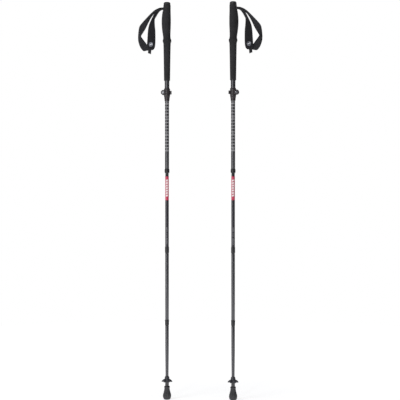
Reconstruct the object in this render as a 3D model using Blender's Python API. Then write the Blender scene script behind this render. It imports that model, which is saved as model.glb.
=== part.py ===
"""A pair of folding, telescoping walking poles, built piece by piece.

Each pole is modelled in its own frame, in millimetres: u runs outboard (the side its wrist
strap hangs on), y runs towards the back, and z runs up from the sole of its rubber tip.
The object's origin lies midway between the two hands that hold the poles.
"""

import math

import bmesh
import bpy
from mathutils import Matrix, Vector

MM = 0.001
GAP = 0.3  # between pieces that touch or slide
SIDES = 14  # of a tube
ROUND = 18  # sides of the thicker round pieces

# The pair
POLE_SPACING = 212.0
HAND_HEIGHT = 1204.0  # middle of the grip's palm swell

# Grip and upper tube
GRIP_TOP = 1266.0
GRIP_END = 1022.5
STRAP_HEIGHT = 1254.0
CAP_TOP = 1275.0
UPPER_R, UPPER_BORE = 7.5, 6.8
UPPER_END = 962.5
# (z, outboard half width, inboard half width, half depth) of the foam, top to bottom
GRIP_STATIONS = (
    (1266.0, 10.6, 10.6, 10.3),
    (1263.5, 11.6, 11.6, 11.0),
    (1252.0, 12.4, 11.6, 11.3),
    (1241.0, 14.8, 11.7, 11.9),
    (1222.0, 17.0, 12.2, 12.8),
    (1200.0, 17.0, 12.1, 13.0),
    (1180.0, 15.0, 11.3, 12.4),
    (1165.0, 12.8, 11.0, 11.6),
    (1156.5, 12.8, 12.4, 12.2),
    (1151.0, 14.0, 14.0, 13.2),
    (1145.5, 12.9, 13.0, 12.4),
    (1138.0, 11.5, 11.7, 11.3),
    (1100.0, 10.8, 10.9, 10.8),
    (1060.0, 10.2, 10.3, 10.2),
    (1026.0, 9.7, 9.8, 9.7),
    (1022.5, 8.9, 9.0, 8.9),
)

# Lever clamp
CLAMP_MIDDLE = 984.5
CLAMP_BAND_R = 9.8
SKIRT_END = 957.0
SCREW_U = 11.5  # the screw crosses the pole here, front to back
BOSS_R, BOSS_FRONT, BOSS_BACK = 7.8, -9.6, 4.4
BARREL_Y = 9.2
LEVER_INNER, LEVER_OUTER, LEVER_HEIGHT = 10.4, 13.0, 11.0

# Folding joints, numbered downwards: the height at which each one parts
JOINT_HEIGHTS = (726.6, 469.4, 237.3)
COLLAR_TOPS = (739.5, 490.3, 256.6)
COLLAR_RADII = (7.75, 6.5, 6.5)
FOLD_PITCH = 24.0  # between the axes of two folded sections
FOLD_SIDES = (-1, 1, -1)  # each section folds to the front or the back
SPIGOT_HEIGHT = 8.6
SPIGOT_BASE_R, SPIGOT_TIP_R = 4.7, 2.1
SOCKET_R = 5.1
CORD_R = 1.2
CORD_TOPS = (905.0, 735.0, 478.0)

# Sections below the clamp
SLIDE_R, SLIDE_BORE, SLIDE_TOP = 6.5, 5.85, 1058.0
SECTION_R, SECTION_BORE = 5.7, 5.1
NECK_R, NECK_LENGTH = 5.6, 10.7
BUTTON_DROP = 3.7  # from the parting height to the button's centre
TIP_TUBE_END, TIP_TUBE_END_R = 62.0, 4.8

# Foot
FERRULE_TOP, FERRULE_SHOULDER = 75.5, 43.4
BASKET_PRONGS, BASKET_R, BASKET_NOTCH_R = 6, 17.5, 9.6
RUBBER_TOP = 43.0

# Wrist strap. Its rigid stand-in swings about the mouth of the head's slot.
STRAP_AXIS_U = 15.6
WEBBING = 2.2  # thickness
# The webbing's two edges as (u, y, z), from the head round the loop to behind the pad
WEBBING_OUTER = (
    (16.3, -8.2, 1255.6), (24.0, -8.0, 1256.0), (37.0, -7.0, 1249.5), (48.0, -6.0, 1240.5),
    (59.5, -4.5, 1229.7), (73.9, -2.5, 1215.6), (87.6, 0.0, 1199.8), (91.6, 1.0, 1186.0),
    (93.2, 3.0, 1170.0), (93.2, 3.0, 1158.0), (92.2, 2.0, 1147.5), (88.4, 1.5, 1135.2),
    (82.7, 1.5, 1125.0), (76.0, 1.5, 1118.7), (67.0, 1.5, 1119.4), (57.0, 1.5, 1121.5),
    (46.0, 1.5, 1124.0),
)
WEBBING_INNER = (
    (16.3, 8.2, 1255.4), (24.0, 8.0, 1253.0), (34.5, 8.0, 1244.8), (43.0, 7.5, 1236.6),
    (51.6, 6.0, 1223.6), (60.2, 4.0, 1207.6), (68.8, 1.5, 1191.4), (75.5, -1.0, 1179.6),
    (81.6, -4.0, 1169.6), (83.6, -5.0, 1165.6), (82.8, -4.0, 1163.8), (79.0, -1.0, 1158.6),
    (74.4, 0.6, 1152.6), (69.4, 1.5, 1146.0), (64.6, 1.5, 1139.6), (57.0, 1.5, 1136.5),
    (47.0, 1.5, 1135.0),
)
# The webbing's loose tail below the pad, as (u, z)
TAIL = ((60.4, 1131.0), (49.8, 1131.0), (51.8, 1108.5), (55.3, 1107.6), (61.8, 1112.0))
# The pad and the layer that carries it: (outboard edge, inboard edge, thickness)
PAD_STATIONS = (
    ((16.3, -8.0, 1252.9), (16.3, 8.0, 1252.7), 1.8),
    ((24.0, -7.8, 1250.6), (24.0, 7.8, 1247.8), 2.2),
    ((34.6, -7.0, 1243.2), (31.0, 7.6, 1238.6), 2.8),
    ((43.6, -6.4, 1233.0), (36.6, 6.0, 1229.0), 3.4),
    ((51.6, -5.4, 1218.6), (40.6, 0.0, 1219.6), 4.4),
    ((57.4, -3.8, 1201.0), (40.0, -3.0, 1201.0), 5.4),
    ((60.2, -3.2, 1183.0), (38.3, -3.2, 1183.0), 5.6),
    ((61.7, -3.2, 1162.0), (37.9, -3.2, 1162.0), 5.6),
    ((63.0, -3.2, 1141.0), (38.3, -3.2, 1141.0), 5.6),
    ((62.6, -3.2, 1130.0), (40.0, -3.2, 1130.0), 5.4),
    ((60.6, -3.2, 1124.6), (42.6, -3.2, 1124.6), 5.0),
    ((56.0, -3.2, 1121.6), (46.6, -3.2, 1121.6), 4.4),
)
BADGE_U, BADGE_Z, BADGE_R = 51.1, 1138.8, 7.4

# Colour (linear), roughness and metallic value of each finish
FINISHES = {
    "foam": ((0.022, 0.022, 0.024), 0.95, 0.0),
    "hard_plastic": ((0.018, 0.018, 0.020), 0.55, 0.0),
    "webbing": ((0.020, 0.020, 0.022), 0.9, 0.0),
    "anodised_tube": ((0.085, 0.085, 0.090), 0.38, 0.8),
    "printed_tube": ((0.060, 0.060, 0.064), 0.40, 0.7),
    "bright_metal": ((0.62, 0.62, 0.64), 0.25, 1.0),
    "spring_steel": ((0.40, 0.40, 0.42), 0.30, 1.0),
    "cord_coating": ((0.03, 0.03, 0.03), 0.5, 0.0),
    "carbide": ((0.20, 0.20, 0.21), 0.35, 1.0),
    "tip_rubber": ((0.045, 0.045, 0.048), 0.85, 0.0),
}


def clear_scene():
    for old in list(bpy.data.objects):
        bpy.data.objects.remove(old, do_unlink=True)


def finish_material(name, finish):
    """A material of its own for one piece."""
    colour, roughness, metallic = FINISHES[finish]
    made = bpy.data.materials.new(name)
    made.use_nodes = True
    shader = made.node_tree.nodes["Principled BSDF"]
    shader.inputs["Base Color"].default_value = (*colour, 1.0)
    shader.inputs["Roughness"].default_value = roughness
    shader.inputs["Metallic"].default_value = metallic
    made.diffuse_color = (*colour, 1.0)
    return made


# Shapes


def turned(outline, sides=SIDES):
    """A piece turned about z from its (r, z) outline, which is a closed loop unless it starts on the axis."""
    shape = bmesh.new()
    points = [shape.verts.new((r, 0, z)) for r, z in outline]
    hollow = outline[0][0] > 0
    ends = points[1:] + points[:1] if hollow else points[1:]
    edges = [shape.edges.new(pair) for pair in zip(points, ends)]
    bmesh.ops.spin(
        shape, geom=points + edges, cent=(0, 0, 0), axis=(0, 0, 1),
        angle=math.tau, steps=sides, use_duplicate=False,
    )
    bmesh.ops.remove_doubles(shape, verts=shape.verts[:], dist=1e-4)
    bmesh.ops.recalc_face_normals(shape, faces=shape.faces[:])
    return shape


def tube(outer, bore, low, high, sides=SIDES):
    return turned([(outer, high), (outer, low), (bore, low), (bore, high)], sides)


def rod(radius, low, high, sides=SIDES):
    return turned([(0, high), (radius, high), (radius, low), (0, low)], sides)


def lying(shape, u, z):
    """Turns a shape made about z so that its axis runs front to back at (u, z), its top at the back."""
    turn = Matrix.Translation((u, 0, z)) @ Matrix.Rotation(-math.pi / 2, 4, "X")
    bmesh.ops.transform(shape, matrix=turn, verts=shape.verts[:])
    return shape


def moved(shape, u=0.0, y=0.0, z=0.0):
    bmesh.ops.translate(shape, vec=(u, y, z), verts=shape.verts[:])
    return shape


def skinned(rings, closed=False):
    """A solid through rings of equally many points. Closed, its last ring meets its first; else it is capped."""
    shape = bmesh.new()
    rows = [[shape.verts.new(point) for point in ring] for ring in rings]
    pairs = list(zip(rows, rows[1:]))
    if closed:
        pairs.append((rows[-1], rows[0]))
    else:
        shape.faces.new(rows[0])
        shape.faces.new(rows[-1])
    for upper, lower in pairs:
        for i, corner in enumerate(upper):
            j = (i + 1) % len(upper)
            shape.faces.new((corner, upper[j], lower[j], lower[i]))
    bmesh.ops.recalc_face_normals(shape, faces=shape.faces[:])
    return shape


def plate(outline, low, high):
    """A flat piece standing between two heights, from its (u, y) outline."""
    return skinned([[(u, y, z) for u, y in outline] for z in (high, low)])


def block(u, y, z):
    """A box from (low, high) pairs along u, y and z."""
    return plate([(u[0], y[0]), (u[1], y[0]), (u[1], y[1]), (u[0], y[1])], *z)


def arc(radius, start, end, steps, centre=(0.0, 0.0)):
    """Points along an arc, with angles in degrees."""
    turns = [math.radians(start + (end - start) * i / steps) for i in range(steps + 1)]
    return [(centre[0] + radius * math.cos(a), centre[1] + radius * math.sin(a)) for a in turns]


def ribbon(stations, profile):
    """A strip through (one edge, other edge, thickness) stations.

    The profile gives each cross-section's points as fractions of half its width and half its thickness.
    """
    middles = [(Vector(a) + Vector(b)) / 2 for a, b, _ in stations]
    rings = []
    for i, (a, b, thickness) in enumerate(stations):
        along = middles[min(i + 1, len(middles) - 1)] - middles[max(i - 1, 0)]
        half = (Vector(a) - Vector(b)) / 2
        across = along.cross(half).normalized() * thickness / 2
        rings.append([middles[i] + half * w + across * t for w, t in profile])
    return skinned(rings)


FLAT_STRIP = ((-1, -1), (1, -1), (1, 1), (-1, 1))
PADDED_STRIP = (
    (-1, -0.4), (-0.86, -1), (0.86, -1), (1, -0.4),
    (1, 0.4), (0.86, 1), (-0.86, 1), (-1, 0.4),
)


class Pole:
    """One pole of the pair. Its side is -1 on the left and 1 on the right."""

    def __init__(self, name, side):
        self.name = name
        self.side = side
        self.base = Vector((side * POLE_SPACING / 2, 0, -HAND_HEIGHT)) * MM
        self.frames = {}

    def world(self, u, y, z):
        return self.base + Vector((self.side * u, y, z)) * MM

    def joint_frame(self, name, at, parent=None):
        """An empty on a joint's axis, which carries the pieces that the joint moves."""
        frame = bpy.data.objects.new(f"{self.name}_{name}_axis", None)
        frame.empty_display_size = 0.01
        bpy.context.scene.collection.objects.link(frame)
        place = self.world(*at)
        frame.parent = self.frames[parent][0] if parent else None
        frame.location = place - (self.frames[parent][1] if parent else Vector())
        self.frames[name] = frame, place

    def piece(self, name, shape, frame, finish=None, smooth=True):
        """Makes an object from a shape in the pole's frame. A piece with no finish is a cutting or joining tool."""
        scale = Matrix.Diagonal((self.side * MM, MM, MM, 1))
        bmesh.ops.transform(shape, matrix=scale, verts=shape.verts[:])
        if self.side < 0:
            bmesh.ops.reverse_faces(shape, faces=shape.faces[:])
        mesh = bpy.data.meshes.new(f"{self.name}_{name}")
        shape.to_mesh(mesh)
        shape.free()
        if smooth:
            mesh.shade_smooth()
            mesh.set_sharp_from_angle(angle=math.radians(35))
        made = bpy.data.objects.new(f"{self.name}_{name}", mesh)
        bpy.context.scene.collection.objects.link(made)
        if frame:
            made.parent = self.frames[frame][0]
        made.location = self.base - (self.frames[frame][1] if frame else Vector())
        if finish:
            mesh.materials.append(finish_material(f"{self.name}_{name}", finish))
        else:
            made.hide_render = True
            made.display_type = "WIRE"
        return made

    def shaped(self, piece, operation, tools, frame):
        """Cuts a piece with each named tool, or joins each to it."""
        for name, shape in tools.items():
            tool = self.piece(f"{name}_tool", shape, frame, smooth=False)
            change = piece.modifiers.new(name, "BOOLEAN")
            change.operation = operation
            change.solver = "EXACT"
            change.object = tool

    def build_handle(self):
        rings = []
        for z, outboard, inboard, depth in GRIP_STATIONS:
            ring = []
            for step in range(ROUND):
                turn = math.tau * step / ROUND
                half = outboard if math.cos(turn) > 0 else inboard
                ring.append((half * math.cos(turn), depth * math.sin(turn), z))
            rings.append(ring)
        grip = self.piece("grip", skinned(rings), None, "foam")
        bore_top = GRIP_TOP - 26.0
        self.shaped(grip, "DIFFERENCE", {
            "grip_bore": rod(UPPER_R + GAP, GRIP_END - 5, bore_top),
            "strap_slot": block((-2.5, 25.0), (-8.8, 8.8), (1249.6, 1258.4)),
            "pin_hole": moved(lying(rod(2.0, -10.0, 10.0, 12), 4.0, STRAP_HEIGHT)),
            "cap_hole": rod(4.0 + GAP, GRIP_TOP - 5.0, GRIP_TOP + 5.0),
        }, None)
        self.piece("head_cap", turned([
            (0, CAP_TOP), (4.5, CAP_TOP - 0.4), (8.0, CAP_TOP - 2.0), (10.1, CAP_TOP - 4.8),
            (10.8, CAP_TOP - 7.4), (10.6, GRIP_TOP + GAP), (4.0, GRIP_TOP + GAP),
            (4.0, GRIP_TOP - 4.6), (0, GRIP_TOP - 4.6),
        ], ROUND), None, "hard_plastic")
        self.piece("strap_pin", lying(rod(1.7, -9.6, 9.6, 12), 4.0, STRAP_HEIGHT), None, "bright_metal")
        upper = tube(UPPER_R, UPPER_BORE, UPPER_END, bore_top - 1.0)
        self.piece("upper_tube", upper, None, "anodised_tube")

    def build_clamp(self):
        low, high = CLAMP_MIDDLE - 10.5, CLAMP_MIDDLE + 10.5
        body = self.piece("clamp_body", turned([
            (0, high + 3.0), (8.6, high + 3.0), (9.5, high + 1.0), (CLAMP_BAND_R, high),
            (CLAMP_BAND_R, low), (9.4, low - 1.5), (7.6, SKIRT_END), (0, SKIRT_END),
        ], ROUND), None, "hard_plastic")
        boss = lying(rod(BOSS_R, BOSS_FRONT, BOSS_BACK, ROUND), SCREW_U, CLAMP_MIDDLE)
        self.shaped(body, "UNION", {"boss": boss}, None)
        step = UPPER_END - GAP
        bore = turned([
            (0, high + 9), (UPPER_R + GAP, high + 9), (UPPER_R + GAP, step),
            (SLIDE_R + GAP, step), (SLIDE_R + GAP, SKIRT_END - 5), (0, SKIRT_END - 5),
        ], ROUND)
        seat = BOSS_FRONT + 3.0
        screw_hole = lying(turned([
            (0, 20.0), (1.9, 20.0), (1.9, seat), (5.6, seat), (5.6, -20.0), (0, -20.0),
        ]), SCREW_U, CLAMP_MIDDLE)
        self.shaped(body, "DIFFERENCE", {
            "clamp_bore": bore,
            "clamp_slit": block((6.0, 30.0), (-0.9, 0.9), (low - 0.5, high + 9)),
            "screw_hole": screw_hole,
        }, None)

        self.joint_frame("screw", (SCREW_U, 0, CLAMP_MIDDLE))
        seat -= GAP
        screw = lying(turned([
            (0, 11.2), (1.3, 11.2), (1.5, 10.8), (1.5, seat), (5.2, seat),
            (5.2, seat - 1.9), (4.3, seat - 2.5), (0, seat - 2.5),
        ]), SCREW_U, CLAMP_MIDDLE)
        screw = self.piece("clamp_screw", screw, "screw", "bright_metal")
        slot = block((SCREW_U - 8, SCREW_U + 8), (-12.0, seat - 1.6), (CLAMP_MIDDLE - 0.6, CLAMP_MIDDLE + 0.6))
        self.shaped(screw, "DIFFERENCE", {"screw_slot": slot}, "screw")

        half = LEVER_HEIGHT / 2
        barrel_place = {"u": SCREW_U, "y": BARREL_Y, "z": CLAMP_MIDDLE}
        barrel = moved(rod(2.5, -half, half, 16), **barrel_place)
        barrel = self.piece("clamp_barrel", barrel, None, "bright_metal")
        cross = lying(rod(1.8, 0.0, 20.0, 12), SCREW_U, CLAMP_MIDDLE)
        self.shaped(barrel, "DIFFERENCE", {"barrel_thread": cross}, None)

        self.joint_frame("lever", (SCREW_U, BARREL_Y, CLAMP_MIDDLE))
        band = arc(LEVER_OUTER, 47, 168, 11) + [(-14.6, 1.6), (-14.8, -1.2)]
        band += arc(LEVER_INNER, 186, 47, 12)
        lever = plate(band, CLAMP_MIDDLE - half, CLAMP_MIDDLE + half)
        lever = self.piece("clamp_lever", lever, "lever", "hard_plastic")
        root = moved(rod(4.0, -half, half), **barrel_place)
        self.shaped(lever, "UNION", {"lever_root": root}, "lever")
        self.shaped(lever, "DIFFERENCE", {
            "lever_bore": moved(rod(2.8, -10.0, 10.0, 16), **barrel_place),
            "lever_fork": moved(rod(5.5, -2.1, 2.1), **barrel_place),
        }, "lever")

    def build_strap(self):
        self.joint_frame("strap", (STRAP_AXIS_U, 0, STRAP_HEIGHT))
        stations = [(a, b, WEBBING) for a, b in zip(WEBBING_OUTER, WEBBING_INNER)]
        webbing = self.piece("strap_webbing", ribbon(stations, FLAT_STRIP), "strap", "webbing")
        back, front = 1.5 + WEBBING / 2 - 0.2, 1.5 - WEBBING / 2 + 0.2
        tail = skinned([[(u, y, z) for u, z in TAIL] for y in (front, back)])
        self.shaped(webbing, "UNION", {"tail": tail}, "strap")
        self.piece("strap_pad", ribbon(PAD_STATIONS, PADDED_STRIP), "strap", "webbing")
        badge = lying(turned([
            (0, -6.4), (BADGE_R, -6.4), (BADGE_R, -7.4), (BADGE_R - 1.2, -8.2), (0, -8.2),
        ], ROUND), BADGE_U, BADGE_Z)
        self.piece("strap_badge", badge, "strap", "bright_metal")

    def build_collar(self, number, socket_bore, frame):
        """The collar at a section's lower end, with the socket that the next spigot seats in."""
        low, high = JOINT_HEIGHTS[number - 1], COLLAR_TOPS[number - 1]
        radius = COLLAR_RADII[number - 1]
        self.piece(f"joint_collar_{number}", turned([
            (radius - 0.3, high), (radius, high - 1.2), (radius, low + 1.6), (radius - 0.8, low),
            (SOCKET_R, low), (SOCKET_R, low + 3.2), (socket_bore, low + 3.2), (socket_bore, high),
        ]), frame, "hard_plastic")

    def build_spigot(self, number, neck_r, neck_length, frame):
        """The plug on a section's upper end, with its shoulder and the sleeve that holds it in the tube."""
        seat = JOINT_HEIGHTS[number - 1]
        shoulder = seat - GAP
        neck_end = shoulder - neck_length
        sleeve_r, cavity_r, bore_r = SECTION_BORE - GAP, 4.1, CORD_R + 0.4
        spigot = self.piece(f"spigot_{number}", turned([
            (SPIGOT_TIP_R, seat + SPIGOT_HEIGHT), (SPIGOT_BASE_R, shoulder), (neck_r, shoulder),
            (neck_r, neck_end), (sleeve_r, neck_end), (sleeve_r, neck_end - 14.0),
            (cavity_r, neck_end - 14.0), (cavity_r, seat - 1.8), (bore_r, seat - 0.4),
            (bore_r, seat + SPIGOT_HEIGHT),
        ]), frame, "hard_plastic")
        return spigot, neck_end

    def build_cord(self, number, frame):
        """The stretch of tension cord that slides out of the section above when the joint is pulled apart."""
        low = JOINT_HEIGHTS[number - 1] + SPIGOT_HEIGHT + GAP
        cord = rod(CORD_R, low, CORD_TOPS[number - 1], 10)
        self.piece(f"cord_{number}", cord, frame, "cord_coating")

    def fold_frames(self, number, above):
        """A joint's two frames: the cord's pull-out slide, and the fold about the pivot it carries.

        The pivot lies beside the tube at the parting height, so the short cone swings out of its socket.
        """
        pivot = FOLD_SIDES[number - 1] * FOLD_PITCH / 2
        at = (0, pivot, JOINT_HEIGHTS[number - 1])
        self.joint_frame(f"link_{number}", at, above)
        self.joint_frame(f"fold_{number}", at, f"link_{number}")

    def build_sections(self):
        self.joint_frame("slide", (0, 0, UPPER_END))
        seats = [height + 3.6 for height in JOINT_HEIGHTS]
        slide = tube(SLIDE_R, SLIDE_BORE, seats[0], SLIDE_TOP)
        self.piece("slide_tube", slide, "slide", "anodised_tube")
        self.build_collar(1, SLIDE_R + GAP, "slide")

        self.fold_frames(1, "slide")
        self.build_cord(1, "link_1")
        spigot, neck_end = self.build_spigot(1, NECK_R, NECK_LENGTH, "fold_1")
        self.build_button(spigot)
        section = tube(SECTION_R, SECTION_BORE, seats[1], neck_end - GAP)
        self.piece("mid_tube", section, "fold_1", "printed_tube")
        self.build_collar(2, SECTION_R + GAP, "fold_1")

        self.fold_frames(2, "fold_1")
        self.build_cord(2, "link_2")
        _, neck_end = self.build_spigot(2, SECTION_R, 1.2, "fold_2")
        section = tube(SECTION_R, SECTION_BORE, seats[2], neck_end - GAP)
        self.piece("lower_tube", section, "fold_2", "anodised_tube")
        self.build_collar(3, SECTION_R + GAP, "fold_2")

        self.fold_frames(3, "fold_2")
        self.build_cord(3, "link_3")
        _, neck_end = self.build_spigot(3, SECTION_R, 1.2, "fold_3")
        high, taper = neck_end - GAP, 160.0
        wall = SECTION_R - SECTION_BORE
        self.piece("tip_tube", turned([
            (SECTION_R, high), (SECTION_R, taper), (TIP_TUBE_END_R, 82.0), (TIP_TUBE_END_R, TIP_TUBE_END),
            (TIP_TUBE_END_R - wall, TIP_TUBE_END), (TIP_TUBE_END_R - wall, 82.0),
            (SECTION_BORE, taper), (SECTION_BORE, high),
        ]), "fold_3", "anodised_tube")

    def build_button(self, spigot):
        """The sprung button that locks the upper joint from inside the spigot's neck."""
        z = JOINT_HEIGHTS[0] - BUTTON_DROP
        hole = lying(rod(2.5, 2.5, 9.0, 16), 0, z)
        self.shaped(spigot, "DIFFERENCE", {"button_hole": hole}, "fold_1")
        self.joint_frame("button", (0, NECK_R, z), "fold_1")
        button = lying(turned([
            (0, 7.3), (1.2, 7.2), (2.0, 6.7), (2.2, 6.2), (2.2, 3.2), (0, 3.2),
        ], 16), 0, z)
        self.piece("lock_button", button, "button", "bright_metal")
        leaf = [
            ((-1.5, 2.6, z + 1.6), (1.5, 2.6, z + 1.6), 0.4),
            ((-1.5, 2.5, z - 2.6), (1.5, 2.5, z - 2.6), 0.4),
            ((-1.5, 3.0, z - 19.0), (1.5, 3.0, z - 19.0), 0.4),
        ]
        self.piece("lock_spring", ribbon(leaf, FLAT_STRIP), "fold_1", "spring_steel", smooth=False)

    def build_foot(self):
        floor = TIP_TUBE_END - 2.0
        bore = TIP_TUBE_END_R + GAP
        self.piece("ferrule", turned([
            (5.5, FERRULE_TOP), (6.2, 73.0), (6.2, FERRULE_SHOULDER + 1.0), (5.4, FERRULE_SHOULDER),
            (5.2, 30.0), (3.6, 21.0), (2.3, 21.0), (2.3, 33.0), (1.0, 33.0), (1.0, floor),
            (bore, floor), (bore, FERRULE_TOP),
        ]), "fold_3", "hard_plastic")
        self.piece("carbide_tip", turned([
            (0, 32.5), (2.0, 32.5), (2.0, 16.4), (1.8, 14.6), (0, 15.8),
        ], 12), "fold_3", "carbide")

        self.joint_frame("basket", (0, 0, 61.0), "fold_3")
        self.piece("basket", skinned(self.basket_rings(), closed=True), "basket", "hard_plastic")

        self.joint_frame("rubber", (0, 0, RUBBER_TOP), "fold_3")
        self.piece("rubber_tip", turned([
            (0, 12.5), (2.6, 12.5), (4.6, 20.4), (5.8, 29.0), (5.9, RUBBER_TOP), (9.0, RUBBER_TOP),
            (9.0, 38.6), (8.3, 36.6), (10.2, 27.0), (12.6, 18.0), (13.35, 14.0), (13.2, 9.5),
            (11.9, 4.8), (9.4, 1.4), (6.5, 0), (0, 0),
        ], ROUND), "rubber", "tip_rubber")

    @staticmethod
    def basket_rings():
        """The basket's section as rings: up the bore, down the hub's cone, out round the star and back."""
        count = BASKET_PRONGS * 4
        rings = []
        for radius, z, share in (
            (6.6, 73.4, 0.0), (7.0, 73.4, 0.0), (8.2, 66.5, 0.0), (8.2, 59.6, 1.0),
            (8.2, 57.6, 1.0), (8.0, 62.6, 0.0), (7.8, 55.6, 0.0), (6.6, 55.6, 0.0),
        ):
            ring = []
            for step in range(count):
                turn = math.tau * step / count
                wave = (1 + math.cos(BASKET_PRONGS * turn)) / 2
                reach = BASKET_NOTCH_R + (BASKET_R - BASKET_NOTCH_R) * wave
                r = radius + share * (reach - radius)
                ring.append((r * math.cos(turn), r * math.sin(turn), z))
            rings.append(ring)
        return rings

    def build(self):
        self.build_handle()
        self.build_clamp()
        self.build_strap()
        self.build_sections()
        self.build_foot()


clear_scene()
for pole_name, pole_side in (("left", -1), ("right", 1)):
    Pole(pole_name, pole_side).build()
bpy.context.view_layer.update()
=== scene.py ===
"""The looks of a pair of folding, telescoping walking poles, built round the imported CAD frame.

Each pole has its own frame, in millimetres: u runs outboard (the side its wrist strap hangs on),
y runs towards the back and z runs up from the sole of its rubber tip. Meshes are made in that
frame and stand at the pole's foot, so that a piece's own coordinates are the pole's.
"""

from __future__ import annotations

import logging
import math
from collections.abc import Callable, Iterable, Sequence
from dataclasses import dataclass, field
from enum import Enum

import bmesh
import bpy
from mathutils import Matrix, Vector

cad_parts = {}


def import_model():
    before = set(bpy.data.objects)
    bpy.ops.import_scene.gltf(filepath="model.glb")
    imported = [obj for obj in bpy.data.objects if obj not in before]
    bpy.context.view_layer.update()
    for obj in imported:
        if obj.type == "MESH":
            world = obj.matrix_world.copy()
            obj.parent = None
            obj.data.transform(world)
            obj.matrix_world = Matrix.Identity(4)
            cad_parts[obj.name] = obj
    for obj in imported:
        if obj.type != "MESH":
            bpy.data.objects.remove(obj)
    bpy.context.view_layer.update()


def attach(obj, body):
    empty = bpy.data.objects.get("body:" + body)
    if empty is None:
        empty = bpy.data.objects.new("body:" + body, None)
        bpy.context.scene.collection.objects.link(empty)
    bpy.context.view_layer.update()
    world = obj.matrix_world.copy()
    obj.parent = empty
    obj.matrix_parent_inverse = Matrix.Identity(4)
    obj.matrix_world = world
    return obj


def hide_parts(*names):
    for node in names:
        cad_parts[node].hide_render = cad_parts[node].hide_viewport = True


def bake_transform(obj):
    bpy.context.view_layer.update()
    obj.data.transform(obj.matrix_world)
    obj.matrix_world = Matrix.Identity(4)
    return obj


log = logging.getLogger("walking_poles")

MM = 0.001
POLE_SPACING = 212.0
HAND_HEIGHT = 1204.0
ROUND = 56  # sides of a turned piece
LONGEST_CUT = 0.45  # the most of a side that a rounded corner takes
PRINT_STEP = 0.7  # how closely a print follows its tube's round

Tree = bpy.types.NodeTree
Node = bpy.types.Node
Socket = bpy.types.NodeSocket
Piece = bpy.types.Object
Shape = bmesh.types.BMesh
Point = tuple[float, float, float]
Outline = Sequence[tuple[float, float]]
Ripple = Callable[[float, float], float]


class Side(Enum):
    """Which hand a pole is for. The value is the sign of world x."""

    LEFT = -1
    RIGHT = 1

    @property
    def prefix(self) -> str:
        """The start of this pole's node and body names."""
        return self.name.lower()


# Materials


def linear(hex_colour: str, alpha: float = 1.0) -> tuple[float, float, float, float]:
    """Turns an sRGB colour to the linear values that a shader takes.

    Args:
        hex_colour: The colour as "#RRGGBB".
        alpha: The fourth value.

    Returns:
        Red, green, blue and alpha, linear.
    """
    channels = [int(hex_colour[i : i + 2], 16) / 255 for i in (1, 3, 5)]
    red, green, blue = (c / 12.92 if c <= 0.04045 else ((c + 0.055) / 1.055) ** 2.4 for c in channels)
    return red, green, blue, alpha


def add_node(tree: Tree, kind: str, settings: dict | None = None, links: dict | None = None) -> Node:
    """Adds one node with its settings and links.

    Args:
        tree: The node tree it goes into.
        kind: The node's Blender type.
        settings: Values by the name of a property or of an input socket.
        links: Output sockets by the name or number of the input that each feeds.

    Returns:
        The new node.
    """
    node = tree.nodes.new(kind)
    for name, value in (settings or {}).items():
        if isinstance(name, str) and hasattr(node, name):
            setattr(node, name, value)
        else:
            node.inputs[name].default_value = value
    for name, output in (links or {}).items():
        tree.links.new(output, node.inputs[name])
    return node


@dataclass(frozen=True)
class Finish:
    """What every finish has: a name, the record's slot and the shader's own numbers.

    Its two colours, dark and light, are mixed by the surface's pattern, and so are its two roughnesses.
    """

    name: str
    slot: str | None
    dark: str
    light: str
    rough: tuple[float, float]
    metallic: float = 0.0
    ior: float = 1.5
    coat: float = 0.0
    sheen: float = 0.0
    bump_mm: float = 0.02

    def height(self, tree: Tree, place: Node) -> Socket:
        """The surface's relief, from 0 to 1.

        Args:
            tree: The material's node tree.
            place: The texture coordinate node.

        Returns:
            The output that carries the relief.
        """
        raise NotImplementedError

    def tint(self, tree: Tree, place: Node, height: Socket) -> Socket:
        """How light the surface is, from 0 to 1: its relief, unless a finish says otherwise."""
        return height

    def make(self) -> bpy.types.Material:
        """Builds the material.

        Returns:
            The material, with its nodes.
        """
        made = bpy.data.materials.new(self.name)
        made.use_nodes = True
        tree = made.node_tree
        shader = tree.nodes["Principled BSDF"]
        fixed = {
            "Metallic": self.metallic,
            "IOR": self.ior,
            "Coat Weight": self.coat,
            "Coat Roughness": 0.25,
            "Sheen Weight": self.sheen,
            "Sheen Roughness": 0.5,
        }
        for socket, value in fixed.items():
            shader.inputs[socket].default_value = value
        place = add_node(tree, "ShaderNodeTexCoord")
        height = self.height(tree, place)
        tint = self.tint(tree, place, height)
        colour = add_node(
            tree,
            "ShaderNodeMix",
            {"data_type": "RGBA", 6: linear(self.dark), 7: linear(self.light)},
            {0: tint},
        )
        rough = add_node(
            tree,
            "ShaderNodeMapRange",
            {"To Min": self.rough[0], "To Max": self.rough[1]},
            {"Value": tint},
        )
        bump = add_node(
            tree, "ShaderNodeBump", {"Strength": 1.0, "Distance": self.bump_mm * MM}, {"Height": height}
        )
        tree.links.new(colour.outputs[2], shader.inputs["Base Color"])
        tree.links.new(rough.outputs["Result"], shader.inputs["Roughness"])
        tree.links.new(bump.outputs["Normal"], shader.inputs["Normal"])
        return made


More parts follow.
